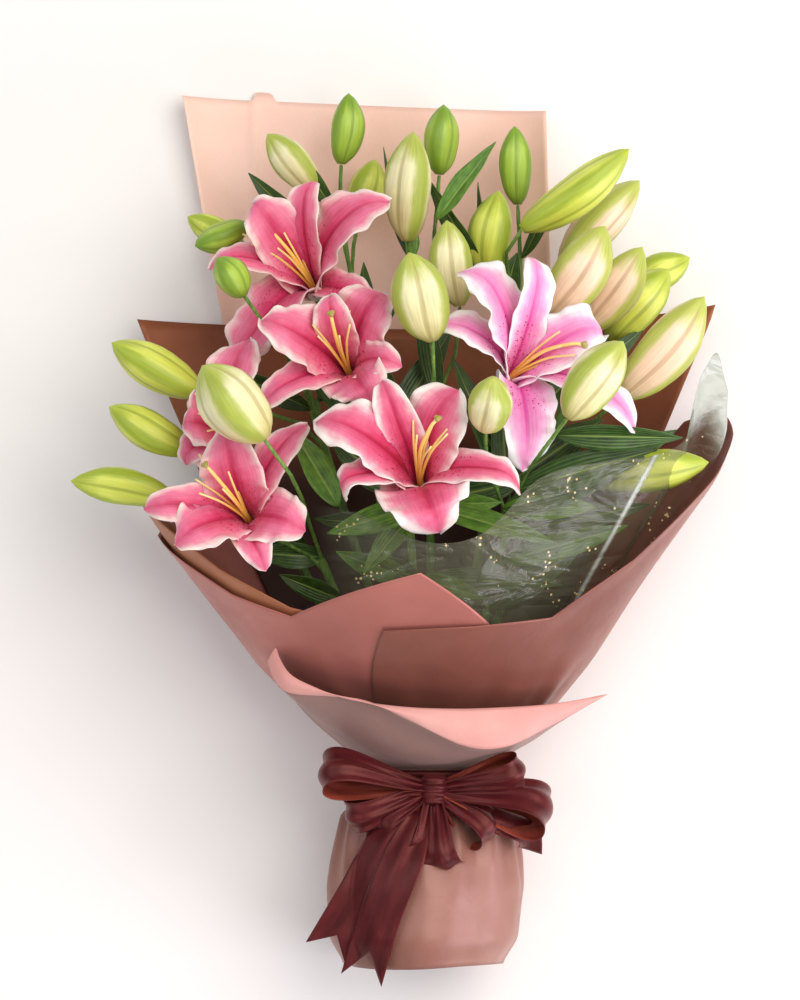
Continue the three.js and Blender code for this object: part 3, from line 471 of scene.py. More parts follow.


# Cellophane: clear cast film, crumpled by handling, so sharp glints, cloudy grey patches, a doubled fold down the
# right with a painted highlight along it, clear towards the left edge, and printed gold flecks.
def cellophaneMaterial():
    material, tree, shader = startMaterial("crumpled cellophane", **{
        "Roughness": 0.14, "IOR": 1.47, "Specular IOR Level": 0.7})
    place = add(tree, "TexCoord", out=3)
    uv, across, along, _ = surfacePlace(tree)
    foldFrom, foldTo = toWorld((*film["foldFrom"], 0)), toWorld((*film["foldTo"], 0))
    way = unit((foldTo - foldFrom)[:2])
    aside = (float(way[1]), float(-way[0]), 0.0)
    reach = add(tree, "VectorMath", {0: place, 1: aside}, out=1, operation="DOT_PRODUCT")
    fromFold = add(tree, "Math", {0: reach, 1: float(np.dot(aside[:2], foldFrom[:2]))}, operation="SUBTRACT")
    distance = add(tree, "Math", {0: fromFold}, operation="ABSOLUTE")
    # the pale, more opaque line along the fold is a painted highlight as well as the doubled film
    foldLineGlint = add(tree, "MapRange", {0: distance, 1: film["foldWidth"], 2: 0.0, 4: 0.6},
                   interpolation_type="SMOOTHSTEP")
    beyond = add(tree, "MapRange", {0: fromFold, 1: -0.002, 2: 0.003, 3: 1.0, 4: 0.25})
    lobeAcross = add(tree, "MapRange", {0: across, 1: 0.72, 2: 0.8}, interpolation_type="SMOOTHSTEP")
    lobeAlong = add(tree, "MapRange", {0: along, 1: 0.8, 2: 0.9}, interpolation_type="SMOOTHSTEP")
    lobe = add(tree, "Math", {0: lobeAcross, 1: lobeAlong}, operation="MULTIPLY")
    leftFade = add(tree, "MapRange", {0: across, 1: 0.01, 2: 0.17, 3: 0.0}, interpolation_type="SMOOTHSTEP")
    # creases wander across the film, 20 to 40 mm apart
    slanted = add(tree, "Mapping", {0: place, 2: (0, 0, 0.7), 3: (11, 26, 11)})
    bent = add(tree, "TexNoise", {"Vector": slanted, "Scale": 1.0, "Detail": 2.5, "Distortion": 0.8})
    fine = add(tree, "TexNoise", {"Vector": place, "Scale": 60.0, "Detail": 5.0, "Distortion": 1.2})
    clouds = add(tree, "TexNoise", {"Vector": place, "Scale": 9.0, "Detail": 4.0})
    haze = add(tree, "MapRange", {0: clouds, 1: 0.35, 2: 0.7, 3: film["haze"][0], 4: film["haze"][1]})
    haze = add(tree, "Math", {0: haze, 1: beyond}, operation="MULTIPLY")
    sloping = add(tree, "Math", {0: bent, 1: 0.5}, operation="SUBTRACT")
    ridge = add(tree, "Math", {0: sloping}, operation="ABSOLUTE")
    crease = add(tree, "MapRange", {0: ridge, 1: 0.012, 2: 0.0, 4: 0.08})
    crumple = add(tree, "MapRange", {0: ridge, 1: 0.0, 2: 0.12})
    rim = add(tree, "LayerWeight", {0: 0.35}, out=1)
    alpha = add(tree, "Math", {0: haze, 1: crease}, operation="ADD")
    alpha = add(tree, "Math", {0: rim, 1: 0.4, 2: alpha}, operation="MULTIPLY_ADD")
    alpha = add(tree, "Math", {0: alpha, 1: foldLineGlint}, operation="ADD")
    # gold flecks up to 2 mm across
    flecks = add(tree, "TexVoronoi", {"Vector": place, "Scale": 210.0})
    chosen = add(tree, "TexNoise", {"Vector": place, "Scale": 42.0, "Detail": 1.0})
    fleckHere = add(tree, "Math", {0: flecks, 1: 0.24}, operation="LESS_THAN")
    fleckZone = add(tree, "Math", {0: chosen, 1: 0.62}, operation="GREATER_THAN")
    fleck = add(tree, "Math", {0: fleckHere, 1: fleckZone}, operation="MULTIPLY")
    alpha = add(tree, "Math", {0: fleck, 1: 0.8, 2: alpha}, operation="MULTIPLY_ADD")
    alpha = add(tree, "Math", {0: alpha, 1: leftFade}, operation="MULTIPLY")
    alpha = add(tree, "Math", {0: lobe, 1: film["lobe"], 2: alpha}, operation="MULTIPLY_ADD", use_clamp=True)
    # the fold's painted highlight and the lobe are paler
    paleShare = add(tree, "Math", {0: foldLineGlint, 1: 1.6, 2: lobe}, operation="MULTIPLY_ADD", use_clamp=True)
    colour = add(tree, "Mix", {0: paleShare, 6: "#74745F", 7: "#BCC2B8"}, out=2, data_type="RGBA")
    colour = add(tree, "Mix", {0: fleck, 6: colour, 7: "#D9C48E"}, out=2, data_type="RGBA")
    height = add(tree, "Math", {0: fine, 1: 0.5, 2: crumple}, operation="MULTIPLY_ADD")
    bump = add(tree, "Bump", {"Strength": 0.6, "Distance": 0.003, "Height": height})
    finishMaterial(tree, shader, {"Base Color": colour, "Alpha": alpha, "Normal": bump})
    return material


cellophaneFilm = cellophaneMaterial()


# Wine red satin: woven polyester with long floats across the ribbon, so it is dark from the side and flashes
# light along its folds. The look is its colours from dark to light.
def satinMaterial(name, look):
    material, tree, shader = startMaterial(name, **{
        "Roughness": 0.34, "IOR": 1.5, "Anisotropic": 0.6, "Sheen Weight": 0.35, "Sheen Roughness": 0.3,
        "Sheen Tint": "#E58A78", "Specular Tint": "#F0A090", "Coat Weight": 0.1, "Coat Roughness": 0.4})
    uv = add(tree, "TexCoord", out=2)
    # the threads are 0.1 mm apart and are drawn at 0.4 mm so that they show
    threads = add(tree, "TexNoise", {"Vector": uv, "Scale": 1.0, "Detail": 2.0}, stretch=(6, 420, 1))
    patches = add(tree, "TexNoise", {"Vector": uv, "Scale": 4.0, "Detail": 2.0})
    colour = add(tree, "ValToRGB", {0: patches}, stops=[(0.3, look[0]), (0.6, look[1]), (0.8, look[2])])
    shade = add(tree, "MapRange", {0: threads, 1: 0.3, 2: 0.7, 3: 0.86, 4: 1.12})
    colour = add(tree, "Mix", {0: 1.0, 6: colour, 7: shade}, out=2, data_type="RGBA", blend_type="MULTIPLY")
    bump = add(tree, "Bump", {"Strength": 0.25, "Distance": 0.0003, "Height": threads})
    finishMaterial(tree, shader, {"Base Color": colour, "Normal": bump})
    return material


# the face is wine red; the back is the same satin painted lighter and more coppery, a painted highlight for the light
# the loops' insides catch
satin = satinMaterial("wine red satin", ("#3E1015", "#541A1F", "#64242A"))
satinBackPaintedLit = satinMaterial("wine red satin back painted lit", ("#6E2A20", "#8A3C2E", "#A04E3E"))


# Jute twine: two coarse dry strands twisted together.
def twineMaterial():
    material, tree, shader = startMaterial("jute twine", **{"Roughness": 0.85, "IOR": 1.5, "Sheen Weight": 0.2})
    place = add(tree, "TexCoord", out=3)
    # the fibres are 0.1 mm apart and are drawn at about 1 mm so that they show
    fibres = add(tree, "TexNoise", {"Vector": place, "Scale": 1.0, "Detail": 3.0}, stretch=(900, 1500, 900))
    colour = add(tree, "ValToRGB", {0: fibres}, stops=[(0.3, "#8E7650"), (0.7, "#C6AE84")])
    bump = add(tree, "Bump", {"Strength": 0.7, "Distance": 0.0006, "Height": fibres})
    finishMaterial(tree, shader, {"Base Color": colour, "Normal": bump})
    return material


jute = twineMaterial()
print("materials ready")

# For each flower: its throat; its six tepal tips from there, narrow and wide in turn, with how far each tip
# rolls back and, where it isn't 1, how wide it is; which way the filaments point; its colours.
blooms = {
    "bloom_1": {"throat": (-101, 428, 100), "look": "rose", "stamens": (-50, 64, 46),
                "tips": [(-4, 108, 52, 0.6), (61, 90, 50, 0.7), (57, -8, 48, 0.8), (-80, -66, 38, 1.0),
                         (-101, 29, 44, 0.6), (-60, 85, 50, 0.4)]},
    "bloom_2": {"throat": (-70, 352, 146), "look": "rose", "stamens": (-14, 42, 58),
                "tips": [(-22, 80, 66, 1.0), (32, 84, 52, 1.2), (43, 12, 76, 0.7), (20, -26, 84, 1.4),
                         (-85, -26, 66, 0.8), (-81, 51, 62, 0.3)]},
    "bloom_3": {"throat": (66, 343, 164), "look": "violet", "stamens": (58, 30, 42),
                "tips": [(25, 121, 44, 0.6), (93, 53, 34, 0.8), (124, -34, 38, 0.9), (21, -70, 62, 0.9),
                         (-60, 61, 50, 0.8), (-38, 112, 50, 1.0)]},
    "bloom_4": {"throat": (-6, 248, 204), "look": "crimson", "stamens": (8, 42, 46),
                "tips": [(-38, 101, 44, 0.3), (30, 92, 44, 0.3, 1.12), (98, 12, 70, 2.0), (14, -36, 88, 2.0, 1.4),
                         (-92, 0, 66, 2.0), (-97, 66, 56, 0.7, 1.1)]},
    "bloom_5": {"throat": (-161, 221, 176), "look": "rose", "stamens": (-30, 40, 56),
                "tips": [(50, 93, 42, 0.9), (50, -4, 68, 0.9), (14, -40, 74, 0.9), (-66, -18, 70, 0.5),
                         (-95, 14, 52, 0.5), (-20, 84, 66, 0.2)]},
    "bloom_6": {"throat": (-170, 298, 128), "look": "rose", "stamens": (-18, 20, 60),
                "tips": [(-42, 44, 58, 0.4), (6, 90, 48, 0.5), (24, 14, 66, 0.5), (-20, -34, 62, 0.6),
                         (-57, -22, 50, 1.0), (-54, 14, 58, 0.6)]},
}
tepalForm = {
    "halfWidth": (18.5, 28.5), "rootHalfWidth": 2.4, "thickness": 0.9, "rows": 48, "columns": 23,
    "rootReach": 3, "rise": 0.5, "rollFrom": 0.74, "rollBack": 15, "rollInward": 16, "twist": 0.3,
    "waveHeight": (2.4, 5.0), "groove": 1.3, "shoulder": 1.1, "unevenEdge": 0.05,
}
# style and filaments by length and by radius at root and end, how far apart the filaments stand, papillae a tepal
heartForm = {"styleLength": 94, "style": (2.1, 1.5), "filament": (1.5, 0.9), "spread": 13, "papillae": 34}


def tepalSurface(facing, tip, roll, halfWidth, waveHeight, rng):
    rows, columns = tepalForm["rows"], tepalForm["columns"]
    out = tip - facing * (tip @ facing)
    outUnit = unit(out)
    reach = np.linalg.norm(tip)
    rise = reach * tepalForm["rise"]
    root = outUnit * tepalForm["rootReach"]
    first = root + facing * rise + out * 0.06
    second = tip - out * 0.35 + facing * 0.22 * rise
    t = np.linspace(0, 1, 160)[:, None]
    path = (1 - t) ** 3 * root + 3 * (1 - t) ** 2 * t * first + 3 * (1 - t) * t**2 * second + t**3 * tip
    path = evenly(path, rows)
    f = np.linspace(0, 1, rows)
    # the tip rolls back, away from the way the flower faces, and a strong roll also comes inward
    rolled = (np.clip((f - tepalForm["rollFrom"]) / (1 - tepalForm["rollFrom"]), 0, 1) ** 2)[:, None]
    path = path - facing * (rolled * roll * tepalForm["rollBack"])
    path = path - outUnit * (rolled * max(0, roll - 0.8) * tepalForm["rollInward"])
    along = unit(np.gradient(path, axis=0))
    side = np.cross(outUnit, facing)
    normal = unit(np.cross(side, along))
    twist = (rng.uniform(-tepalForm["twist"], tepalForm["twist"]) * f**1.5)[:, None]
    sides = np.cos(twist) * side + np.sin(twist) * normal
    normals = -np.sin(twist) * side + np.cos(twist) * normal
    swell = np.clip(f, 0, 1) ** 0.72 * np.clip(1 - f, 0, 1) ** 0.52 / 0.424
    half = tepalForm["rootHalfWidth"] * (1 - f) + (halfWidth - tepalForm["rootHalfWidth"] / 2) * swell
    u = np.linspace(-1, 1, columns)
    phases = [rng.uniform(0, 6.28) for _ in range(6)]
    counts = [rng.uniform(2.6, 3.6), rng.uniform(2.6, 3.6), rng.uniform(6, 8), rng.uniform(6, 8)]
    fade = smooth(f, 0.12, 0.5)
    waves = []
    for k in (0, 1):
        big = np.sin(counts[k] * 6.28 * f + phases[k])
        small = np.sin(counts[k + 2] * 6.28 * f + phases[k + 2])
        waves.append(waveHeight * fade * (0.8 * big + 0.4 * small))
    left, right = np.clip(-u, 0, 1), np.clip(u, 0, 1)
    ruffle = waves[0][:, None] * left**3 + waves[1][:, None] * right**3
    # a deep cup at the root that opens out, and turns over at the tip
    cup = 0.5 * (1 - smooth(f, 0.05, 0.55)) + 0.13 * (1 - smooth(f, 0.6, 0.95)) - 0.1 * smooth(f, 0.7, 1.0)
    grooveAlong = (smooth(f, 0.02, 0.2) * (1 - smooth(f, 0.8, 1.0)))[:, None]
    groove = -tepalForm["groove"] * np.exp(-((u / 0.09) ** 2)) * grooveAlong
    shoulderAlong = (np.sin(np.pi * f) ** 0.8)[:, None]
    shoulders = tepalForm["shoulder"] * np.exp(-(((np.abs(u) - 0.3) / 0.2) ** 2)) * shoulderAlong
    uneven = np.sin(f * 9 + phases[4])[:, None] * left**2 + np.sin(f * 8 + phases[5])[:, None] * right**2
    across = half[:, None] * u * (1 + tepalForm["unevenEdge"] * uneven)
    lift = cup[:, None] * half[:, None] * u**2 + groove + shoulders + ruffle
    return path[:, None] + sides[:, None] * across[..., None] + normals[:, None] * lift[..., None]


# The receptacle, the style with its three-lobed stigma, six filaments, and papillae low on the tepals.
def heartParts(facing, aim, grids, rng):
    parts = [loftPart(np.array([unit(facing) * h + r * ringAround(facing, 14)
                                for h, r in ((-4.6, 3.0), (-4, 4.4), (0, 5), (3.5, 4.6), (5, 2.6))]), 2)]
    end = aim * heartForm["styleLength"]
    style = np.array([facing * 4, facing * 22 + aim * 4, facing * 34 + aim * 28, aim * 72 + facing * 16, end])
    parts.append(tubePart(spline(style, 18), np.linspace(*heartForm["style"], 18), 9, 0))
    lobes = ringAround(aim, 18)
    bulge = (1 + 0.24 * np.cos(np.arange(18) / 18 * 6.283 * 3))[:, None]
    parts.append(loftPart(np.array([end + aim * h + lobes * bulge * r for h, r in
                                    ((-1.5, 1.4), (0, 2.9), (1.6, 3.4), (3, 2.6), (3.6, 0.9))]), 1))
    spread = ringAround(aim, 6) * heartForm["spread"]
    for k in range(6):
        lean = spread[k] * rng.uniform(0.6, 1.5)
        length = rng.uniform(1.0, 1.22)
        points = np.array([facing * 4 + spread[k] * 0.2, facing * 20 + aim * 5 + lean * 0.2,
                           facing * 22 + aim * 34 * length + lean * 0.75,
                           aim * 72 * length + facing * 4 + lean * 1.5])
        parts.append(tubePart(spline(points, 18), np.linspace(*heartForm["filament"], 18), 7, 0))
    for grid in grids:
        rows, columns = grid.shape[:2]
        for _ in range(heartForm["papillae"]):
            f, u = rng.uniform(0.14, 0.56), rng.uniform(-0.6, 0.6)
            r, c = int(f * (rows - 1)), int((u + 1) / 2 * (columns - 1))
            here, beside, above = grid[r, c], grid[r, c + 1], grid[r + 1, c]
            normal = unit(np.cross(beside - here, above - here))
            foot = ringAround(normal, 5)
            size = rng.uniform(0.45, 0.75)
            parts.append(loftPart(np.array([here + normal * h * size + foot * w * size for h, w in
                                            ((-0.4, 1.0), (0.9, 0.7), (1.7, 0.25))]), 3))
    return parts


def ringAround(axis, count):
    axis = unit(axis)
    side = unit(np.cross(axis, [0.31, 0.17, 0.94]))
    other = np.cross(axis, side)
    turns = np.arange(count) / count * 2 * math.pi
    return np.outer(np.cos(turns), side) + np.outer(np.sin(turns), other)


for name, bloom in blooms.items():
    rng = random.Random(name)
    throat = np.array(bloom["throat"], float)
    tips = np.array([tip[:3] for tip in bloom["tips"]], float)
    facing = unit(tips.sum(0))
    grids, parts = [], []
    for k, (tip, (_, _, _, roll, *wide)) in enumerate(zip(tips, bloom["tips"])):
        halfWidth = tepalForm["halfWidth"][k % 2] * sum(wide or [1])
        grid = tepalSurface(facing, tip, roll, halfWidth, tepalForm["waveHeight"][k % 2], rng)
        grid = grid + facing * (0.5 if k % 2 else -0.4)  # the three wide tepals lie over the narrow ones
        grids.append(grid)
        parts.append(gridPart(grid + throat))
    inside, outside = petalMaterials[bloom["look"]]
    tepals = addPiece(name + "_tepals", parts, [inside, outside], [name])
    thicken(tepals, tepalForm["thickness"], offset=-1, backMaterial=1)
    heart = heartParts(facing, unit(bloom["stamens"]), grids, rng)
    heart = [(points + throat, faces, corners, material) for points, faces, corners, material in heart]
    addPiece(name + "_heart", heart, [filamentMaterial, stigmaMaterial, stemSkin, papillaMaterial],
             outward=True)
print("flowers open:", len(blooms))


# ribs, seams and wobble are shares of the radius, bend is a share of the length, and the tip narrows over tipShare
budForm = {"sides": 36, "rows": 36, "ribs": 0.085, "seams": 0.035, "wobble": 0.012, "bend": 0.035, "twist": 0.25,
           "tipShare": 0.05, "tipRadius": 0.12}
budKinds = {
    "green": [1, 5, 6, 8, 9],
    "yellow": [3, 7, 10, 11, 15, 16, 22, 23, 24, 26],
    "cream": [2, 4, 18, 19, 20, 21, 25],
    "blush": [12, 13, 14, 17],
}
# the share of the length from the base, and of the greatest radius
budOutline = [(0, 0.2), (0.04, 0.42), (0.12, 0.66), (0.25, 0.86), (0.42, 0.98), (0.55, 1), (0.68, 0.92), (0.8, 0.72),
              (0.9, 0.45), (0.96, 0.25), (1, 0.1)]


# The base and the tip of a bud's solid: the base is the end with more corners round it.
def budAxis(points):
    far = points[np.argmax(np.linalg.norm(points - points.mean(0), axis=1))]
    other = points[np.argmax(np.linalg.norm(points - far, axis=1))]
    axis = unit(other - far)
    near = [np.sum(np.abs((points - end) @ axis) < 1.2) for end in (far, other)]
    return (far, other) if near[0] > near[1] else (other, far)


def budRings(base, tip, width, rng):
    axis = tip - base
    length = np.linalg.norm(axis)
    axis = axis / length
    turns = np.arange(budForm["sides"]) / budForm["sides"] * 2 * math.pi
    spin = rng.uniform(0, 6.28)
    side = ringAround(axis, 4)
    bendWay = side[rng.randrange(4)] * length * budForm["bend"]
    rings = []
    for share in np.linspace(0, 1, budForm["rows"]) ** 0.94:
        point = min(1, (1 - share) / budForm["tipShare"]) ** 0.6
        point = budForm["tipRadius"] + (1 - budForm["tipRadius"]) * point
        radius = through(budOutline, share, 0.03) * width / 2 * point
        grown = smooth(share, 0.02, 0.2)
        rib = np.cos(3 * turns)
        seam = np.exp(-((np.mod(3 * turns, 6.2832) - 3.1416) / 0.3) ** 2)
        wobble = 1 + budForm["wobble"] * np.sin(5 * turns + 9 * share)
        shape = 1 + grown * (budForm["ribs"] * np.abs(rib) ** 1.5 * np.sign(rib) - budForm["seams"] * seam)
        angle = turns + spin + budForm["twist"] * share
        around = np.outer(np.cos(angle), side[0]) + np.outer(np.sin(angle), side[1])
        middle = base + axis * share * length + bendWay * math.sin(math.pi * share)
        rings.append(middle + around * (radius * shape * wobble)[:, None])
    return np.array(rings)


kindOf = {f"bud_{number:02d}": kind for kind, numbers in budKinds.items() for number in numbers}
for name, kind in kindOf.items():
    rng = random.Random(name)
    corners = toLocal([v.co[:] for v in nodes[name].data.vertices])
    base, tip = budAxis(corners)
    axis = unit(tip - base)
    low = base + axis * ((corners - base) @ axis).min()
    spread = corners - low - np.outer((corners - low) @ axis, axis)
    width = 2 * np.linalg.norm(spread, axis=1).max()
    middleOfBase = corners[np.abs((corners - low) @ axis) < 1].mean(0)
    rings = budRings(middleOfBase, tip, width, rng)
    addPiece(name + "_skin", [loftPart(rings)], [budMaterials[kind]], [name], outward=True)
print("buds:", len(kindOf))

# The stems keep the solids' paths, with their hard joints melted together and the pith showing where they are cut.
stemForm = {"count": 9, "voxel": 1.15, "smoothing": 8, "keep": 0.45, "cutDepth": 1.6}
for number in range(1, stemForm["count"] + 1):
    name = f"stem_{number}"
    source = nodes[name]
    mesh = source.data.copy()
    piece = bpy.data.objects.new(name + "_skin", mesh)
    scene.collection.objects.link(piece)
    remesh = piece.modifiers.new("even", "REMESH")
    remesh.mode = "VOXEL"
    remesh.voxel_size = stemForm["voxel"] / 1000
    soften = piece.modifiers.new("soften", "SMOOTH")
    soften.iterations = stemForm["smoothing"]
    fewer = piece.modifiers.new("fewer", "DECIMATE")
    fewer.ratio = stemForm["keep"]
    graph = bpy.context.evaluated_depsgraph_get()
    smoothed = bpy.data.meshes.new_from_object(piece.evaluated_get(graph))
    piece.modifiers.clear()
    piece.data = smoothed
    smoothed.materials.clear()
    smoothed.materials.append(stemSkin)
    smoothed.materials.append(stemCut)
    smoothed.shade_smooth()
    cutY = min(v.co.y for v in smoothed.vertices) + stemForm["cutDepth"] / 1000
    for face in smoothed.polygons:
        face.material_index = 1 if face.center.y < cutY and face.normal.y < -0.8 else 0
    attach(piece, "root")
    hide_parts(name)
print("stems smoothed")

# Leaves by base and tip, then how far the middle rises, the width, and how far the blade is rolled, in degrees.
cadLeaves = {
    "leaf_1": ((-112, 492, 50), (-166, 545, 66), 10, 20, 30),
    "leaf_2": ((6, 498, 118), (60, 568, 128), 12, 22, 40),
    "leaf_3": ((-82, 236, 188), (-124, 306, 200), 8, 28, -25),
    "leaf_4": ((112, 300, 186), (226, 298, 178), 14, 26, -30),
}
darkLeaves = [
    ((-84, 520, 80), (-126, 567, 92), 16, 16, 20),
    ((-40, 470, 84), (-42, 566, 96), 8, 20, 70),
    ((20, 440, 96), (-4, 540, 110), 10, 24, 50),
    ((66, 430, 90), (44, 534, 96), 10, 20, 60),
    ((96, 470, 70), (118, 530, 84), 8, 16, -50),
    ((-60, 400, 84), (-120, 470, 90), 8, 24, 20),
    ((-30, 380, 96), (-60, 460, 110), 8, 22, -30),
    ((30, 350, 110), (-6, 430, 128), 10, 26, 40),
    ((-60, 300, 110), (-124, 372, 120), 10, 26, -20),
    ((-30, 280, 120), (-44, 380, 136), 10, 28, 30),
    ((30, 260, 130), (20, 372, 140), 12, 28, -35),
    ((90, 300, 120), (150, 380, 116), 12, 26, 20),
    ((70, 260, 140), (64, 330, 140), 12, 26, -10),
    ((100, 240, 150), (190, 300, 140), 16, 28, 10),
    ((60, 220, 170), (168, 262, 172), 14, 26, 15),
    ((-40, 200, 150), (-104, 226, 150), 10, 24, 20),
    ((20, 180, 150), (120, 166, 166), 10, 24, 35),
    ((-60, 180, 130), (-136, 176, 140), 12, 22, 25),
    ((-80, 210, 120), (-160, 196, 124), 12, 24, 10),
    ((-110, 260, 100), (-196, 296, 110), 12, 24, -15),
    ((-110, 330, 84), (-190, 366, 92), 12, 22, 20),
    ((120, 340, 90), (196, 402, 84), 12, 22, -20),
    ((110, 200, 120), (200, 240, 120), 14, 24, 0),
    ((0, 150, 130), (-60, 190, 150), 10, 24, 15),
    ((20, 160, 130), (60, 200, 156), 10, 26, -20),
    ((60, 160, 130), (140, 204, 146), 12, 26, 10),
    ((-20, 330, 100), (20, 400, 104), 10, 28, 0),
    ((40, 400, 90), (80, 470, 92), 10, 26, 15),
    ((-70, 340, 90), (-30, 420, 100), 10, 26, 10),
    ((90, 250, 120), (110, 330, 116), 12, 28, 25),
    ((90, 262, 150), (204, 288, 164), 16, 34, 10),
    ((100, 280, 150), (222, 306, 150), 14, 30, -15),
    ((80, 270, 150), (156, 316, 146), 12, 34, 20),
    ((60, 270, 120), (112, 344, 126), 12, 34, 15),
    ((20, 230, 130), (90, 262, 150), 12, 34, 0),
    ((-50, 250, 110), (-90, 300, 120), 12, 34, 0),
    ((-110, 190, 100), (-150, 236, 120), 12, 30, 0),
]
brightLeaves = [
    ((-6, 430, 118), (-22, 520, 96), 8, 22, -60),
    ((-30, 230, 176), (-92, 212, 196), 12, 26, 15),
    ((-40, 180, 160), (-84, 196, 190), 10, 24, 20),
    ((-20, 190, 172), (-60, 176, 190), 10, 24, -25),
    ((10, 190, 176), (64, 240, 190), 10, 22, -15),
    ((34, 204, 190), (112, 203, 202), 12, 24, 25),
    ((70, 190, 150), (178, 220, 158), 12, 26, -20),
    ((60, 230, 150), (150, 236, 170), 12, 24, 10),
    ((20, 170, 150), (50, 154, 180), 8, 20, 10),
    ((-10, 170, 150), (-30, 150, 170), 8, 20, -10),
]


leafForm = {"rows": 30, "columns": 13, "thickness": 0.6, "fold": 0.32, "ruffle": 0.8}


def leafGrid(base, tip, rise, width, roll, rng):
    base, tip = np.array(base, float), np.array(tip, float)
    up = np.array([0, 0, 1.0])
    f = np.linspace(0, 1, leafForm["rows"])[:, None]
    middle = (base + tip) / 2 + up * rise
    path = (1 - f) ** 2 * base + 2 * f * (1 - f) * middle + f**2 * tip
    along = unit(np.gradient(path, axis=0))
    side = unit(np.cross(along, up))
    normal = np.cross(side, along)
    angle = np.radians(roll) * (0.7 + 0.5 * f)
    sides = np.cos(angle) * side + np.sin(angle) * normal
    normals = np.cos(angle) * normal - np.sin(angle) * side
    swell = np.sin(np.pi * np.clip(f, 0, 1) ** 0.82) ** 0.85
    half = width / 2 * np.maximum(swell, 0.03)
    u = np.linspace(-1, 1, leafForm["columns"])[None, :]
    fold = leafForm["fold"] * np.abs(u) * half
    ruffle = leafForm["ruffle"] * np.sin(f * rng.uniform(9, 14) + rng.uniform(0, 6)) * u**2 * swell
    lift = fold + ruffle
    return path[:, None] + sides[:, None] * (half * u)[..., None] + normals[:, None] * lift[..., None]


for name, (base, tip, rise, width, roll) in cadLeaves.items():
    grid = leafGrid(base, tip, rise, width, roll, random.Random(name))
    leafMade = leafDark if name in ("leaf_1", "leaf_4") else leafLight
    thicken(addPiece(name + "_blade", [gridPart(grid)], [leafMade], [name]), leafForm["thickness"])

# the other leaves grow from the nearest point of a stem
stemPoints = np.concatenate([toLocal([v.co[:] for v in nodes[f"stem_{number}"].data.vertices])
                             for number in range(1, stemForm["count"] + 1)])
for name, leaves, made in (("leaves_dark", darkLeaves, leafDark), ("leaves_bright", brightLeaves, leafLight)):
    blades = []
    for number, (base, tip, rise, width, roll) in enumerate(leaves):
        nearest = stemPoints[np.argmin(np.linalg.norm(stemPoints - np.array(base, float), axis=1))]
        blades.append(gridPart(leafGrid(nearest, tip, rise, width, roll, random.Random(number))))
    thicken(addPiece(name, blades, [made]), leafForm["thickness"])
print("leaves:", len(cadLeaves) + len(darkLeaves) + len(brightLeaves))


paperThickness = 0.5  # the film is under 0.1 mm and is made thicker so that its edges show

# The cone that the sheets make, by distance along the bunch, the spacing of its layers, and where the round waist
# starts to become a flat-backed cone.
cone = {
    "pitch": 2.4, "top": 1,
    "halfWidth": [(1, 49.2), (20, 68), (36, 88), (60, 114), (95, 147), (262, 265), (300, 277), (420, 290)],
    "shift": [(36, 0), (95, -9), (420, -9)],
    "middle": [(1, 78), (60, 88), (120, 100), (220, 112)],
    "front": [(1, 31.2), (20, 46), (36, 60), (60, 84), (95, 116), (150, 158), (207, 186), (300, 200)],
    "back": [(1, 46.8), (20, 44), (36, 37), (60, 24), (95, 7.8)],
    "pleats": 15, "pleatHeight": 1.7, "swellHeight": 2.6,
}


# Gathers that all the layers share: tight pleats at the waist that open out into long soft swells.
def gathers(degrees, y):
    turn = np.radians(degrees)
    pleat = np.sin(turn * cone["pleats"] + 0.7 * np.sin(2 * turn)) + 0.4 * np.sin(turn * 26 + 1.3)
    tight = cone["pleatHeight"] * smooth(y, 4, 30) * (1 - smooth(y, 50, 125))
    tight = tight + 0.35 * (1 - smooth(y, 4, 30))
    swell = np.sin(3 * turn + 0.02 * y + 0.6) + 0.6 * np.sin(5 * turn - 0.013 * y + 2.1)
    swell = swell + 0.3 * np.sin(9 * turn + 0.03 * y)
    calm = np.where(np.sin(turn) < 0, 1 - 0.85 * smooth(-np.sin(turn), 0.2, 0.8), 1)
    return (tight * pleat + cone["swellHeight"] * smooth(y, 60, 130) * swell) * calm


def conePoint(degrees, y, layer):
    degrees, y = np.broadcast_arrays(np.asarray(degrees, float), np.asarray(y, float))
    turn = np.radians(degrees)
    cos, sin = np.cos(turn), np.sin(turn)
    out = layer * cone["pitch"] + gathers(degrees, y)
    halfWidth = through(cone["halfWidth"], y, 7) + out
    middle = through(cone["middle"], y, 7)
    shift = through(cone["shift"], y, 7)
    rise = through(cone["front"], y, 7) + out
    drop = middle - through(cone["back"], y, 7) + out
    squareCos = np.sign(cos) * np.abs(cos) ** (2 / 3)
    squareSin = np.sign(sin) * np.abs(sin) ** (2 / 3)
    share = np.where(sin < 0, smooth(y, cone["top"], 24), 0)
    x = shift + halfWidth * (cos * (1 - share) + squareCos * share)
    z = middle + np.where(sin < 0, drop * squareSin * share + (1 - share) * rise * sin, rise * sin)
    return np.stack([x, y, z], axis=-1)


# layer: how far out the sheet lies, in steps of the pitch. edge: the free edge as degrees and distance along the
# bunch. lean: how many degrees the left side drifts towards the waist. flare: how far the free edge bends out.
wrapSheets = {
    "wrap_left": {"layer": 1, "paper": "rose", "slot": "rose_paper", "lean": 0, "flare": 2.0,
                  "edge": [(70, 131), (90, 176), (130, 138), (150, 158), (170, 196), (180, 212), (200, 222),
                           (225, 238), (250, 226)]},
    "wrap_right": {"layer": 2, "paper": "rose in painted shade", "slot": "rose_paper", "lean": 14, "flare": 2.5,
                   "edge": [(-70, 225), (-38, 318), (-22, 330), (0, 304), (15, 258), (30, 189), (50, 137), (75, 129),
                            (101, 125)]},
    "inner_wrap": {"layer": -0.3, "paper": "bright copper", "slot": "copper_paper", "lean": 0, "flare": 1.0,
                   "edge": [(120, 139), (130, 146), (150, 180), (170, 240), (180, 265), (190, 262), (200, 236)]},
}


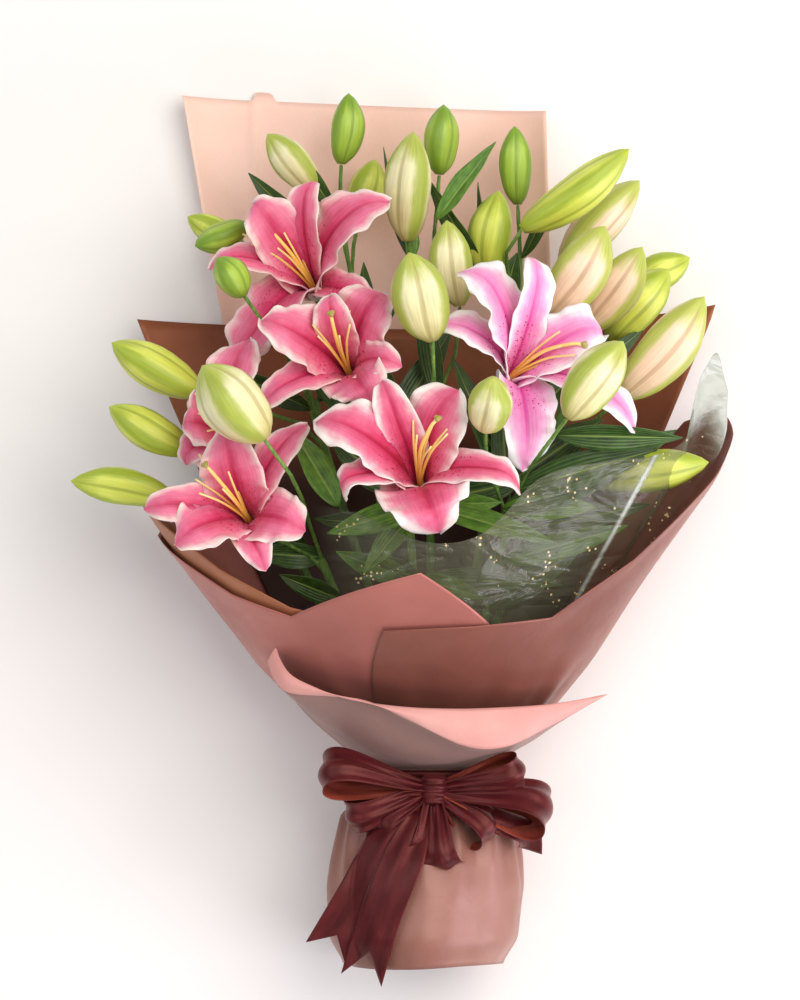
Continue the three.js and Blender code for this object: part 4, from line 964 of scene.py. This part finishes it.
def coneSheet(sheet):
    edge = sheet["edge"]
    corners = [degrees for degrees, _ in edge]
    inBetween = np.arange(corners[0], corners[-1], 2.0)
    degrees = np.array(sorted(set(corners) | {d for d in inBetween if min(abs(d - c) for c in corners) > 0.8}))
    top = through(edge, degrees)
    share = np.linspace(0, 1, 56)[:, None]
    y = -10 + (top[None, :] + 10) * share
    leftShare = smooth(degrees, corners[-1] - 40, corners[-1])[None, :]
    turned = degrees[None, :] + sheet["lean"] * leftShare * np.clip((124 - y) / 74, 0, 1) * smooth(y, 0, 30)
    flare = sheet["flare"] * smooth(y - top[None, :], -26, 0) / cone["pitch"]
    points = conePoint(turned, y, sheet["layer"])
    flared = conePoint(turned, y, sheet["layer"] + 1)
    return points + (flared - points) * flare[..., None]


for name, sheet in wrapSheets.items():
    grid = coneSheet(sheet)
    piece = addPiece(name + "_sheet", [gridPart(grid)], [paperMaterials[sheet["paper"]]], [name])
    thicken(piece, paperThickness)


# The copper sheet at the back opens to two corners: distances along at the left, middle and right of each row,
# then the degrees of its ends.
innerRows = [(-10, -10, -10, 210, 330), (1, 1, 1, 210, 330), (20, 20, 20, 212, 328), (36, 36, 36, 216, 322),
             (60, 60, 60, 222, 316), (95, 95, 95, 230, 310), (200, 200, 200, 232, 308), (300, 300, 300, 227, 316),
             (412, 404, 425, 212, 334)]
rows = np.array(innerRows, float)
rowPlace = np.linspace(0, len(rows) - 1, 80)
fine = np.stack([np.interp(rowPlace, np.arange(len(rows)), rows[:, k]) for k in range(5)], axis=1)
share = np.linspace(0, 1, 49)
y = np.where(share < 0.5, fine[:, :1] + (fine[:, 1:2] - fine[:, :1]) * 2 * share,
             fine[:, 1:2] + (fine[:, 2:3] - fine[:, 1:2]) * (2 * share - 1))
turn = fine[:, 3:4] + (fine[:, 4:5] - fine[:, 3:4]) * share
inner = addPiece("inner_sheet_film", [gridPart(conePoint(turn, y, -0.4))], [paperMaterials["copper"]],
                 ["inner_sheet"])
thicken(inner, paperThickness)

# The tall pale sheet lies flat, with a fold down its left side that ends in a small tab, and both edges lifting
# towards the top. Stations: distance along, and where the left and right edges are.
backForm = {
    "stations": [(20, -56, 56), (36, -70, 70), (60, -88, 88), (95, -108, 100), (210, -150, 130), (350, -180, 118),
                 (490, -206, 111), (620, -228, 108)],
    "waist": 37, "length": 620, "foldX": -162, "foldHeight": 3.2, "foldWidth": 3.0, "tabHeight": 8, "slope": -14,
}
lower = conePoint(np.linspace(225, 315, 91)[None, :], np.linspace(-10, 1, 4)[:, None], 3)
share = np.linspace(0, 1, 91)
rowsUp = []
length = backForm["length"]
for y in np.concatenate([np.linspace(8, 90, 14), np.linspace(95, length, 70)]):
    left, right = (float(through([(1, backForm["waist"] * way)] + [(s[0], s[side]) for s in backForm["stations"]], y))
                   for way, side in ((-1, 1), (1, 2)))
    x = left + (right - left) * share
    low = float(through([(1, 39.6), (20, 37), (36, 30), (60, 17), (95, 0.7)], y, 6))
    lift = float(through([(350, 0), (490, 16), (620, 22)], y, 20)) * (np.abs(2 * share - 1) ** 6)
    bow = (1 - smooth(y, 1, 30)) * 7 * np.abs(2 * share - 1) ** 2
    fromFold = x - backForm["foldX"] + (length - y) * 0.02
    fold = backForm["foldHeight"] * np.exp(-((fromFold / backForm["foldWidth"]) ** 2)) * smooth(y, 300, 420)
    ripple = 1.1 * (1 + np.sin(x * 0.05 + y * 0.012)) * smooth(y, 200, 480) * (0.3 + np.abs(2 * share - 1))
    slope = backForm["slope"] * share * smooth(y, 520, length)
    tab = backForm["tabHeight"] * smooth(x, -164, -160) * (1 - smooth(x, -147, -143)) * smooth(y, 606, length)
    rowsUp.append(np.stack([x, y + slope + tab, low + lift + bow + fold + ripple], axis=-1))
grid = np.concatenate([lower, np.array(rowsUp)])
back = addPiece("back_sheet_film", [gridPart(grid)], [paperMaterials["pale"]], ["back_sheet"])
thicken(back, paperThickness)

# The low collar: up from the waist to a crease that stands out, then over and back on to the wrap behind it. Each
# line runs from left to right, and bulge is how far the turned strip rises between its two lines.
collar = {
    "degrees": [165, 140, 115, 90, 65, 40, 15],
    "middle": [(-112, 50, 112), (-84, 33, 146), (-46, 21, 162), (0, 14, 168), (44, 14, 162), (84, 22, 136),
               (112, 40, 108)],
    "crease": [(-146, 98, 170), (-139, 81, 180), (-126, 70, 188), (-90, 67, 198), (-57, 63, 204), (-19, 46, 208),
               (30, 23, 210), (66, 22, 206), (104, 38, 172), (157, 66, 130)],
    "top": [(-138, 112, 172), (-134, 100, 180), (-124, 86, 190), (-103, 75, 197), (-76, 65, 202), (-27, 58, 207),
            (20, 56, 208), (62, 57, 200), (110, 60, 170), (160, 68, 130)],
    "bulge": 3,
}
collarLines = [conePoint(collar["degrees"], -10.0, 3.0), conePoint(collar["degrees"], 1.0, 3.4)]
collarLines += [collar["middle"], collar["crease"], collar["top"]]
collarLines = [spline(np.array(line, float), 97) for line in collarLines]
climb = spline(np.array(collarLines[:4]), 44)
crease, top = collarLines[3:]
turnOver = np.array([crease + (top - crease) * s + [0, 0, collar["bulge"] * math.sin(math.pi * s)]
                     for s in np.linspace(0, 1, 12)])
collarPiece = addPiece("low_collar_fold", [gridPart(climb), gridPart(turnOver, material=1)],
                       [paperMaterials["mauve"], paperMaterials["blush"]], ["low_collar"])
thicken(collarPiece, paperThickness)

# The skirt round the stems, cinched by the ribbon. Distance from the waist, half width and half height.
skirt = {
    "stations": [(13, 58.8, 40.8), (-13, 58.8, 40.8), (-24.6, 78, 56), (-68.9, 87, 75.9), (-91.8, 90, 78.9),
                 (-141, 86, 78.9), (-164, 72, 70.9)],
    "lean": -6, "length": 164, "pleats": 17, "pleatHeight": 2.6, "swellHeight": 2.2,
}


def skirtRadii(below):
    table = skirt["stations"][::-1]
    return (through([(s[0], s[1]) for s in table], below, 5), through([(s[0], s[2]) for s in table], below, 5))


columns = 180
turn = np.arange(columns) / columns * 2 * math.pi
rings = []
for below in np.concatenate([np.linspace(13, -13, 8), np.linspace(-16, -160, 46), [-164]]):
    halfWidth, halfHeight = skirtRadii(below)
    tight = skirt["pleatHeight"] * smooth(-below, 10, 30) * (1 - smooth(-below, 45, 110)) + 0.3
    soft = skirt["swellHeight"] * smooth(-below, 40, 100)
    wave = tight * (np.sin(turn * skirt["pleats"] + 0.8 * np.sin(3 * turn)) - 0.4)
    wave = wave + soft * (np.sin(4 * turn + 0.9) + 0.5 * np.sin(7 * turn + below * 0.02) - 0.9)
    shift = skirt["lean"] * max(0, -below / skirt["length"])
    x = shift + (halfWidth + wave) * np.cos(turn)
    z = waist[2] + (halfHeight + wave) * np.sin(turn)
    hem = waist[1] + below + 1.6 * np.sin(2 * turn + 0.4) * smooth(-below, 120, skirt["length"])
    rings.append(np.stack([x, hem + 0 * x, np.maximum(z, 0.4)], axis=-1))
skirtPiece = addPiece("skirt_wrap_sheet", [gridPart(np.array(rings), closed=True)], [paperMaterials["dusty rose"]],
                      ["skirt_left", "skirt_right"])
thicken(skirtPiece, paperThickness)
print("paper folded")


# The clear sheet: the points of its upper edge from left to right, and where each one's line starts on the cone.
filmTop = [(-112, 240, 222), (-60, 228, 240), (-4, 204, 244), (46, 212, 244), (98, 262, 238), (160, 277, 212),
           (205, 284, 184), (233, 306, 160), (238, 342, 152), (257, 376, 144), (268, 342, 138)]
filmDegrees = np.array([132, 112, 95, 80, 66, 50, 32, 24, 18, 14, 10])
low = [conePoint(filmDegrees, float(y), -1.5) for y in (20, 36, 60, 95)]
top = np.array(filmTop, float)
# towards the right the film leans out against the paper
out = np.outer([0, 0, 0, 0, 0, 0, 0.1, 0.3, 0.5, 0.8, 1], [20, -6, 0])
middle = low[-1] + (top - low[-1]) * 0.45 + [0, 0, 5] + out * 0.3
upper = low[-1] + (top - low[-1]) * 0.8 + [0, 0, 3] + out
rows = np.array(low + [middle, upper, top])
rows = np.swapaxes(spline(np.swapaxes(rows, 0, 1), 120), 0, 1)
grid = spline(rows, 110)
normal = unit(np.cross(np.gradient(grid, axis=1), np.gradient(grid, axis=0)))
up = np.linspace(0, 1, grid.shape[0])[:, None]
x, y = grid[..., 0], grid[..., 1]
# three sets of sharp folds that cross, on the part above the waist
crumple = 1.5 * np.abs(np.sin(0.07 * x + 0.03 * y + 1.2 * np.sin(0.02 * y)))
crumple = crumple + 1.1 * np.abs(np.sin(0.05 * y - 0.06 * x + 1)) + 0.7 * np.abs(np.sin(0.16 * x + 0.11 * y))
grid = grid + normal * (crumple * smooth(up, 0.45, 0.8))[..., None]
cellophane = addPiece("cellophane_film", [gridPart(grid)], [cellophaneFilm], ["cellophane"])
thicken(cellophane, film["thickness"])
print("cellophane ready")

ribbonThickness = 0.5


# One ring of the band or the knot, round in X and Z.
def ribbonRing(middle, halfWidth, halfHeight, sides):
    turn = np.arange(sides) / sides * 2 * math.pi
    return np.stack([middle[0] + halfWidth * np.cos(turn), middle[1] + 0 * turn,
                     middle[2] + halfHeight * np.sin(turn)], axis=-1)


# The band: ribbon folded narrow and pulled tight round the waist, with ridges along it.
bandForm = {"halfWidth": 61.2, "halfHeight": 43.2, "width": 26, "ridges": 0.7, "puckers": 0.25, "sides": 120}
turn = np.arange(bandForm["sides"]) / bandForm["sides"] * 2 * math.pi
rings = []
for share in np.linspace(-0.5, 0.5, 14):
    crush = bandForm["ridges"] * math.sin(share * 21) + bandForm["puckers"] * np.sin(5 * turn + 9 * share)
    rings.append(ribbonRing(waist + [0, share * bandForm["width"], 0], bandForm["halfWidth"] + crush,
                            bandForm["halfHeight"] + crush, bandForm["sides"]))
band = addPiece("ribbon_band_satin", [gridPart(np.array(rings), closed=True)], [satin], ["ribbon_band"])
thicken(band, ribbonThickness)

# Loops of the bow: the way each points in degrees, how steeply it rises, reach, depth, width and roll.
knotPlace = np.array([4, -17, 138.0])
bowLoops = [
    (171, 8, 102, 36, 40, 38), (197, -2, 80, 28, 34, -26), (12, 6, 80, 28, 34, 26), (-12, 2, 104, 38, 50, -46),
    (-40, -2, 64, 28, 38, -38), (-82, 8, 70, 34, 34, 14), (-104, 2, 58, 26, 36, -30), (214, -8, 58, 22, 30, 20),
]
bowForm = {"rows": 61, "columns": 25, "gathered": 0.26, "knotPleats": 3.2, "loopPleats": 1.6, "belly": 3.0}
bowEnd = {"path": [(14, -20, 134), (56, -44, 140), (86, -56, 128), (92, -74, 112)], "width": 24, "wave": 2.2,
          "slant": 9}
knotForm = {"radius": 12.5, "narrowing": 2.2, "gathers": 1.1, "halfLength": 13, "flat": 0.95, "sides": 48}


def bowLoop(turnDegrees, pitch, reach, depth, width, roll):
    a = np.linspace(0, 1, bowForm["rows"])
    outward = reach * np.sin(np.pi * a) ** 0.8
    upward = depth * np.sin(2 * np.pi * a) * 0.5 * (0.5 + 0.5 * np.sin(np.pi * a))
    along = np.stack([outward, 0 * a, upward], axis=1)
    tangent = unit(np.gradient(along, axis=0))
    normal = np.stack([-tangent[:, 2], 0 * a, tangent[:, 0]], axis=1)
    u = np.linspace(-1, 1, bowForm["columns"])
    openness = (np.sin(np.pi * a) ** 0.7)[:, None]
    half = width / 2 * (bowForm["gathered"] + (1 - bowForm["gathered"]) * openness)
    pleat = (1 - openness) * bowForm["knotPleats"] * np.sin(u * 9)
    pleat = pleat + openness * bowForm["loopPleats"] * np.sin(u * 5 + 1)
    belly = bowForm["belly"] * openness * (1 - u**2)
    points = along[:, None] + normal[:, None] * (pleat + belly)[..., None]
    points[..., 1] += half * u
    pose = Matrix.Rotation(math.radians(turnDegrees), 3, "Z") @ Matrix.Rotation(math.radians(-pitch), 3, "Y")
    pose = pose @ Matrix.Rotation(math.radians(roll), 3, "X")
    return points @ np.array(pose).T + knotPlace


loops = [gridPart(bowLoop(*loop)[:, ::-1]) for loop in bowLoops]
# the knot is a short gathered wrap across the middle
rings = []
for share in np.linspace(-1, 1, 19):
    radius = knotForm["radius"] - knotForm["narrowing"] * share**2 + knotForm["gathers"] * math.sin(share * 12)
    rings.append(ribbonRing(knotPlace + [0, share * knotForm["halfLength"], 0], knotForm["flat"] * radius, radius,
                            knotForm["sides"]))
path = spline(bowEnd["path"], 30)
along = np.linspace(0, 1, 30)[:, None]
u = np.linspace(-1, 1, 13)
endSide = unit(np.cross(unit(np.gradient(path, axis=0)), [0.2, 0.3, 1.0]))
halfEnd = bowEnd["width"] / 2 * (0.4 + 0.6 * smooth(along, 0, 0.4))
shortEnd = path[:, None] + endSide[:, None] * (halfEnd * u)[..., None]
shortEnd = shortEnd + np.array([0, 0, 1.0]) * (bowEnd["wave"] * np.sin(3 * u + 5 * along))[..., None]
shortEnd[..., 1] += bowEnd["slant"] * u * smooth(along, 0.85, 1)
knot = gridPart(np.array(rings)[::-1], closed=True)
bow = addPiece("ribbon_bow_satin", loops + [gridPart(shortEnd), knot], [satin, satinBackPaintedLit], ["ribbon_bow"])
thicken(bow, ribbonThickness, backMaterial=1)

# The tails lie over the skirt and past its hem, and are cut to a swallow tail.
tails = {
    "ribbon_tail_left": {"path": [(-4, -24), (-34, -62), (-62, -112), (-94, -166)], "lift": 6.8, "width": 42,
                         "notch": 20},
    "ribbon_tail_right": {"path": [(0, -26), (-20, -70), (-44, -128), (-62, -189)], "lift": 9.6, "width": 38,
                          "notch": 26},
}


# How high the skirt's front is at X and Y. Past its flank the height holds, so a tail's edge doesn't dive.
def skirtFront(x, y):
    halfWidth, halfHeight = skirtRadii(y - waist[1])
    shift = skirt["lean"] * (waist[1] - y) / skirt["length"]
    share = np.minimum(0.74, np.abs(x - shift) / halfWidth)
    return waist[2] + halfHeight * np.sqrt(1 - share**2)


for name, tail in tails.items():
    path = spline(tail["path"], 56)
    way = unit(np.gradient(path, axis=0))
    side = np.stack([way[:, 1], -way[:, 0]], axis=1)
    f = np.linspace(0, 1, 56)
    u = np.linspace(-1, 1, 21)
    half = tail["width"] / 2 * np.minimum(1, 0.4 + 1.6 * f)
    notch = tail["notch"] * (np.abs(u)[None, :] - 1) * smooth(f, 0.7, 1)[:, None]
    x = path[:, :1] + side[:, :1] * half[:, None] * u + way[:, :1] * notch
    y = path[:, 1:] + side[:, 1:] * half[:, None] * u + way[:, 1:] * notch
    folds = 1.6 * np.sin(u * 6 + 0.5)[None, :] * (1 - smooth(f, 0.1, 0.7))[:, None]  # gathered at the knot
    folds = folds + 1.5 * np.sin(f * 11)[:, None] * u[None, :]
    z = skirtFront(x, y) + tail["lift"] + folds
    piece = addPiece(name + "_satin", [gridPart(np.stack([x, y, z], axis=-1))], [satin], [name])
    thicken(piece, ribbonThickness)
print("ribbon tied")

# Turns of two-strand twine round the stems.
twine = {"turns": 6, "radius": 24.6, "width": 10, "strandRadius": 0.55, "strandOffset": 0.5, "laysPerTurn": 9}
angle = np.linspace(0, 2 * math.pi * twine["turns"], 60 * twine["turns"])
path = waist + np.stack([twine["radius"] * np.cos(angle), twine["width"] * (angle / angle[-1] - 0.5),
                         twine["radius"] * np.sin(angle)], axis=-1)
strands = []
for strand in (0, math.pi):
    lay = angle * twine["laysPerTurn"] + strand
    offset = np.stack([np.cos(lay) * np.cos(angle), np.sin(lay), np.cos(lay) * np.sin(angle)], axis=-1)
    strands.append(tubePart(path + twine["strandOffset"] * offset, twine["strandRadius"], 6))
addPiece("stem_tie_twine", strands, [jute], ["stem_tie"], outward=True)
print("stems tied")

# A plain pale floor, 12 m across so that no edge shows.
floor = bpy.data.meshes.new("studio floor")
floor.from_pydata([(-6, -6, 0), (6, -6, 0), (6, 6, 0), (-6, 6, 0)], [], [(0, 1, 2, 3)])
floor.materials.append(startMaterial("pale studio floor", **{"Base Color": "#F3F1EF", "Roughness": 0.9})[0])
floorPiece = bpy.data.objects.new("studio_floor", floor)
scene.collection.objects.link(floorPiece)

lightsAim = (-20, 240, 100)
lights = {
    "key": {"place": (1300, 1000, 2700), "size": 2.8, "power": 88, "colour": "#FFF8F0"},
    "fill": {"place": (-1700, 900, 2300), "size": 2.2, "power": 24, "colour": "#F4F6FF"},
    "side": {"place": (1800, -700, 900), "size": 1.2, "power": 26, "colour": "#F6F0FF"},
    "low": {"place": (-500, -2000, 1500), "size": 1.8, "power": 12, "colour": "#FFF4EC"},
}
for name, light in lights.items():
    data = bpy.data.lights.new(name, "AREA")
    data.size = light["size"]
    data.energy = light["power"]
    data.color = toLinear(light["colour"])[:3]
    lamp = bpy.data.objects.new(name, data)
    lamp.location = toWorld(light["place"])
    towards = Vector(toWorld(lightsAim)) - lamp.location
    lamp.rotation_euler = towards.to_track_quat("-Z", "Y").to_euler()
    scene.collection.objects.link(lamp)

world = bpy.data.worlds.new("studio")
world.use_nodes = True
world.node_tree.nodes["Background"].inputs["Color"].default_value = toLinear("#F7F7F8")
world.node_tree.nodes["Background"].inputs["Strength"].default_value = 0.3
scene.world = world
scene.view_settings.view_transform = "Standard"

# height is what the upright frame takes in at the aim, in metres, on a 36 mm sensor
camera = {"aim": (-27, 243, 150), "distance": 5.0, "tilt": 1.4, "height": 0.9, "sensor": 36, "clipEnd": 40}
data = bpy.data.cameras.new("camera")
data.lens = camera["sensor"] * camera["distance"] / camera["height"]
data.clip_end = camera["clipEnd"]
eye = bpy.data.objects.new("camera", data)
tilt = math.radians(camera["tilt"])
eye.location = Vector(toWorld(camera["aim"])) + camera["distance"] * Vector((0, -math.sin(tilt), math.cos(tilt)))
eye.rotation_euler = (tilt, 0, 0)
scene.collection.objects.link(eye)
scene.camera = eye
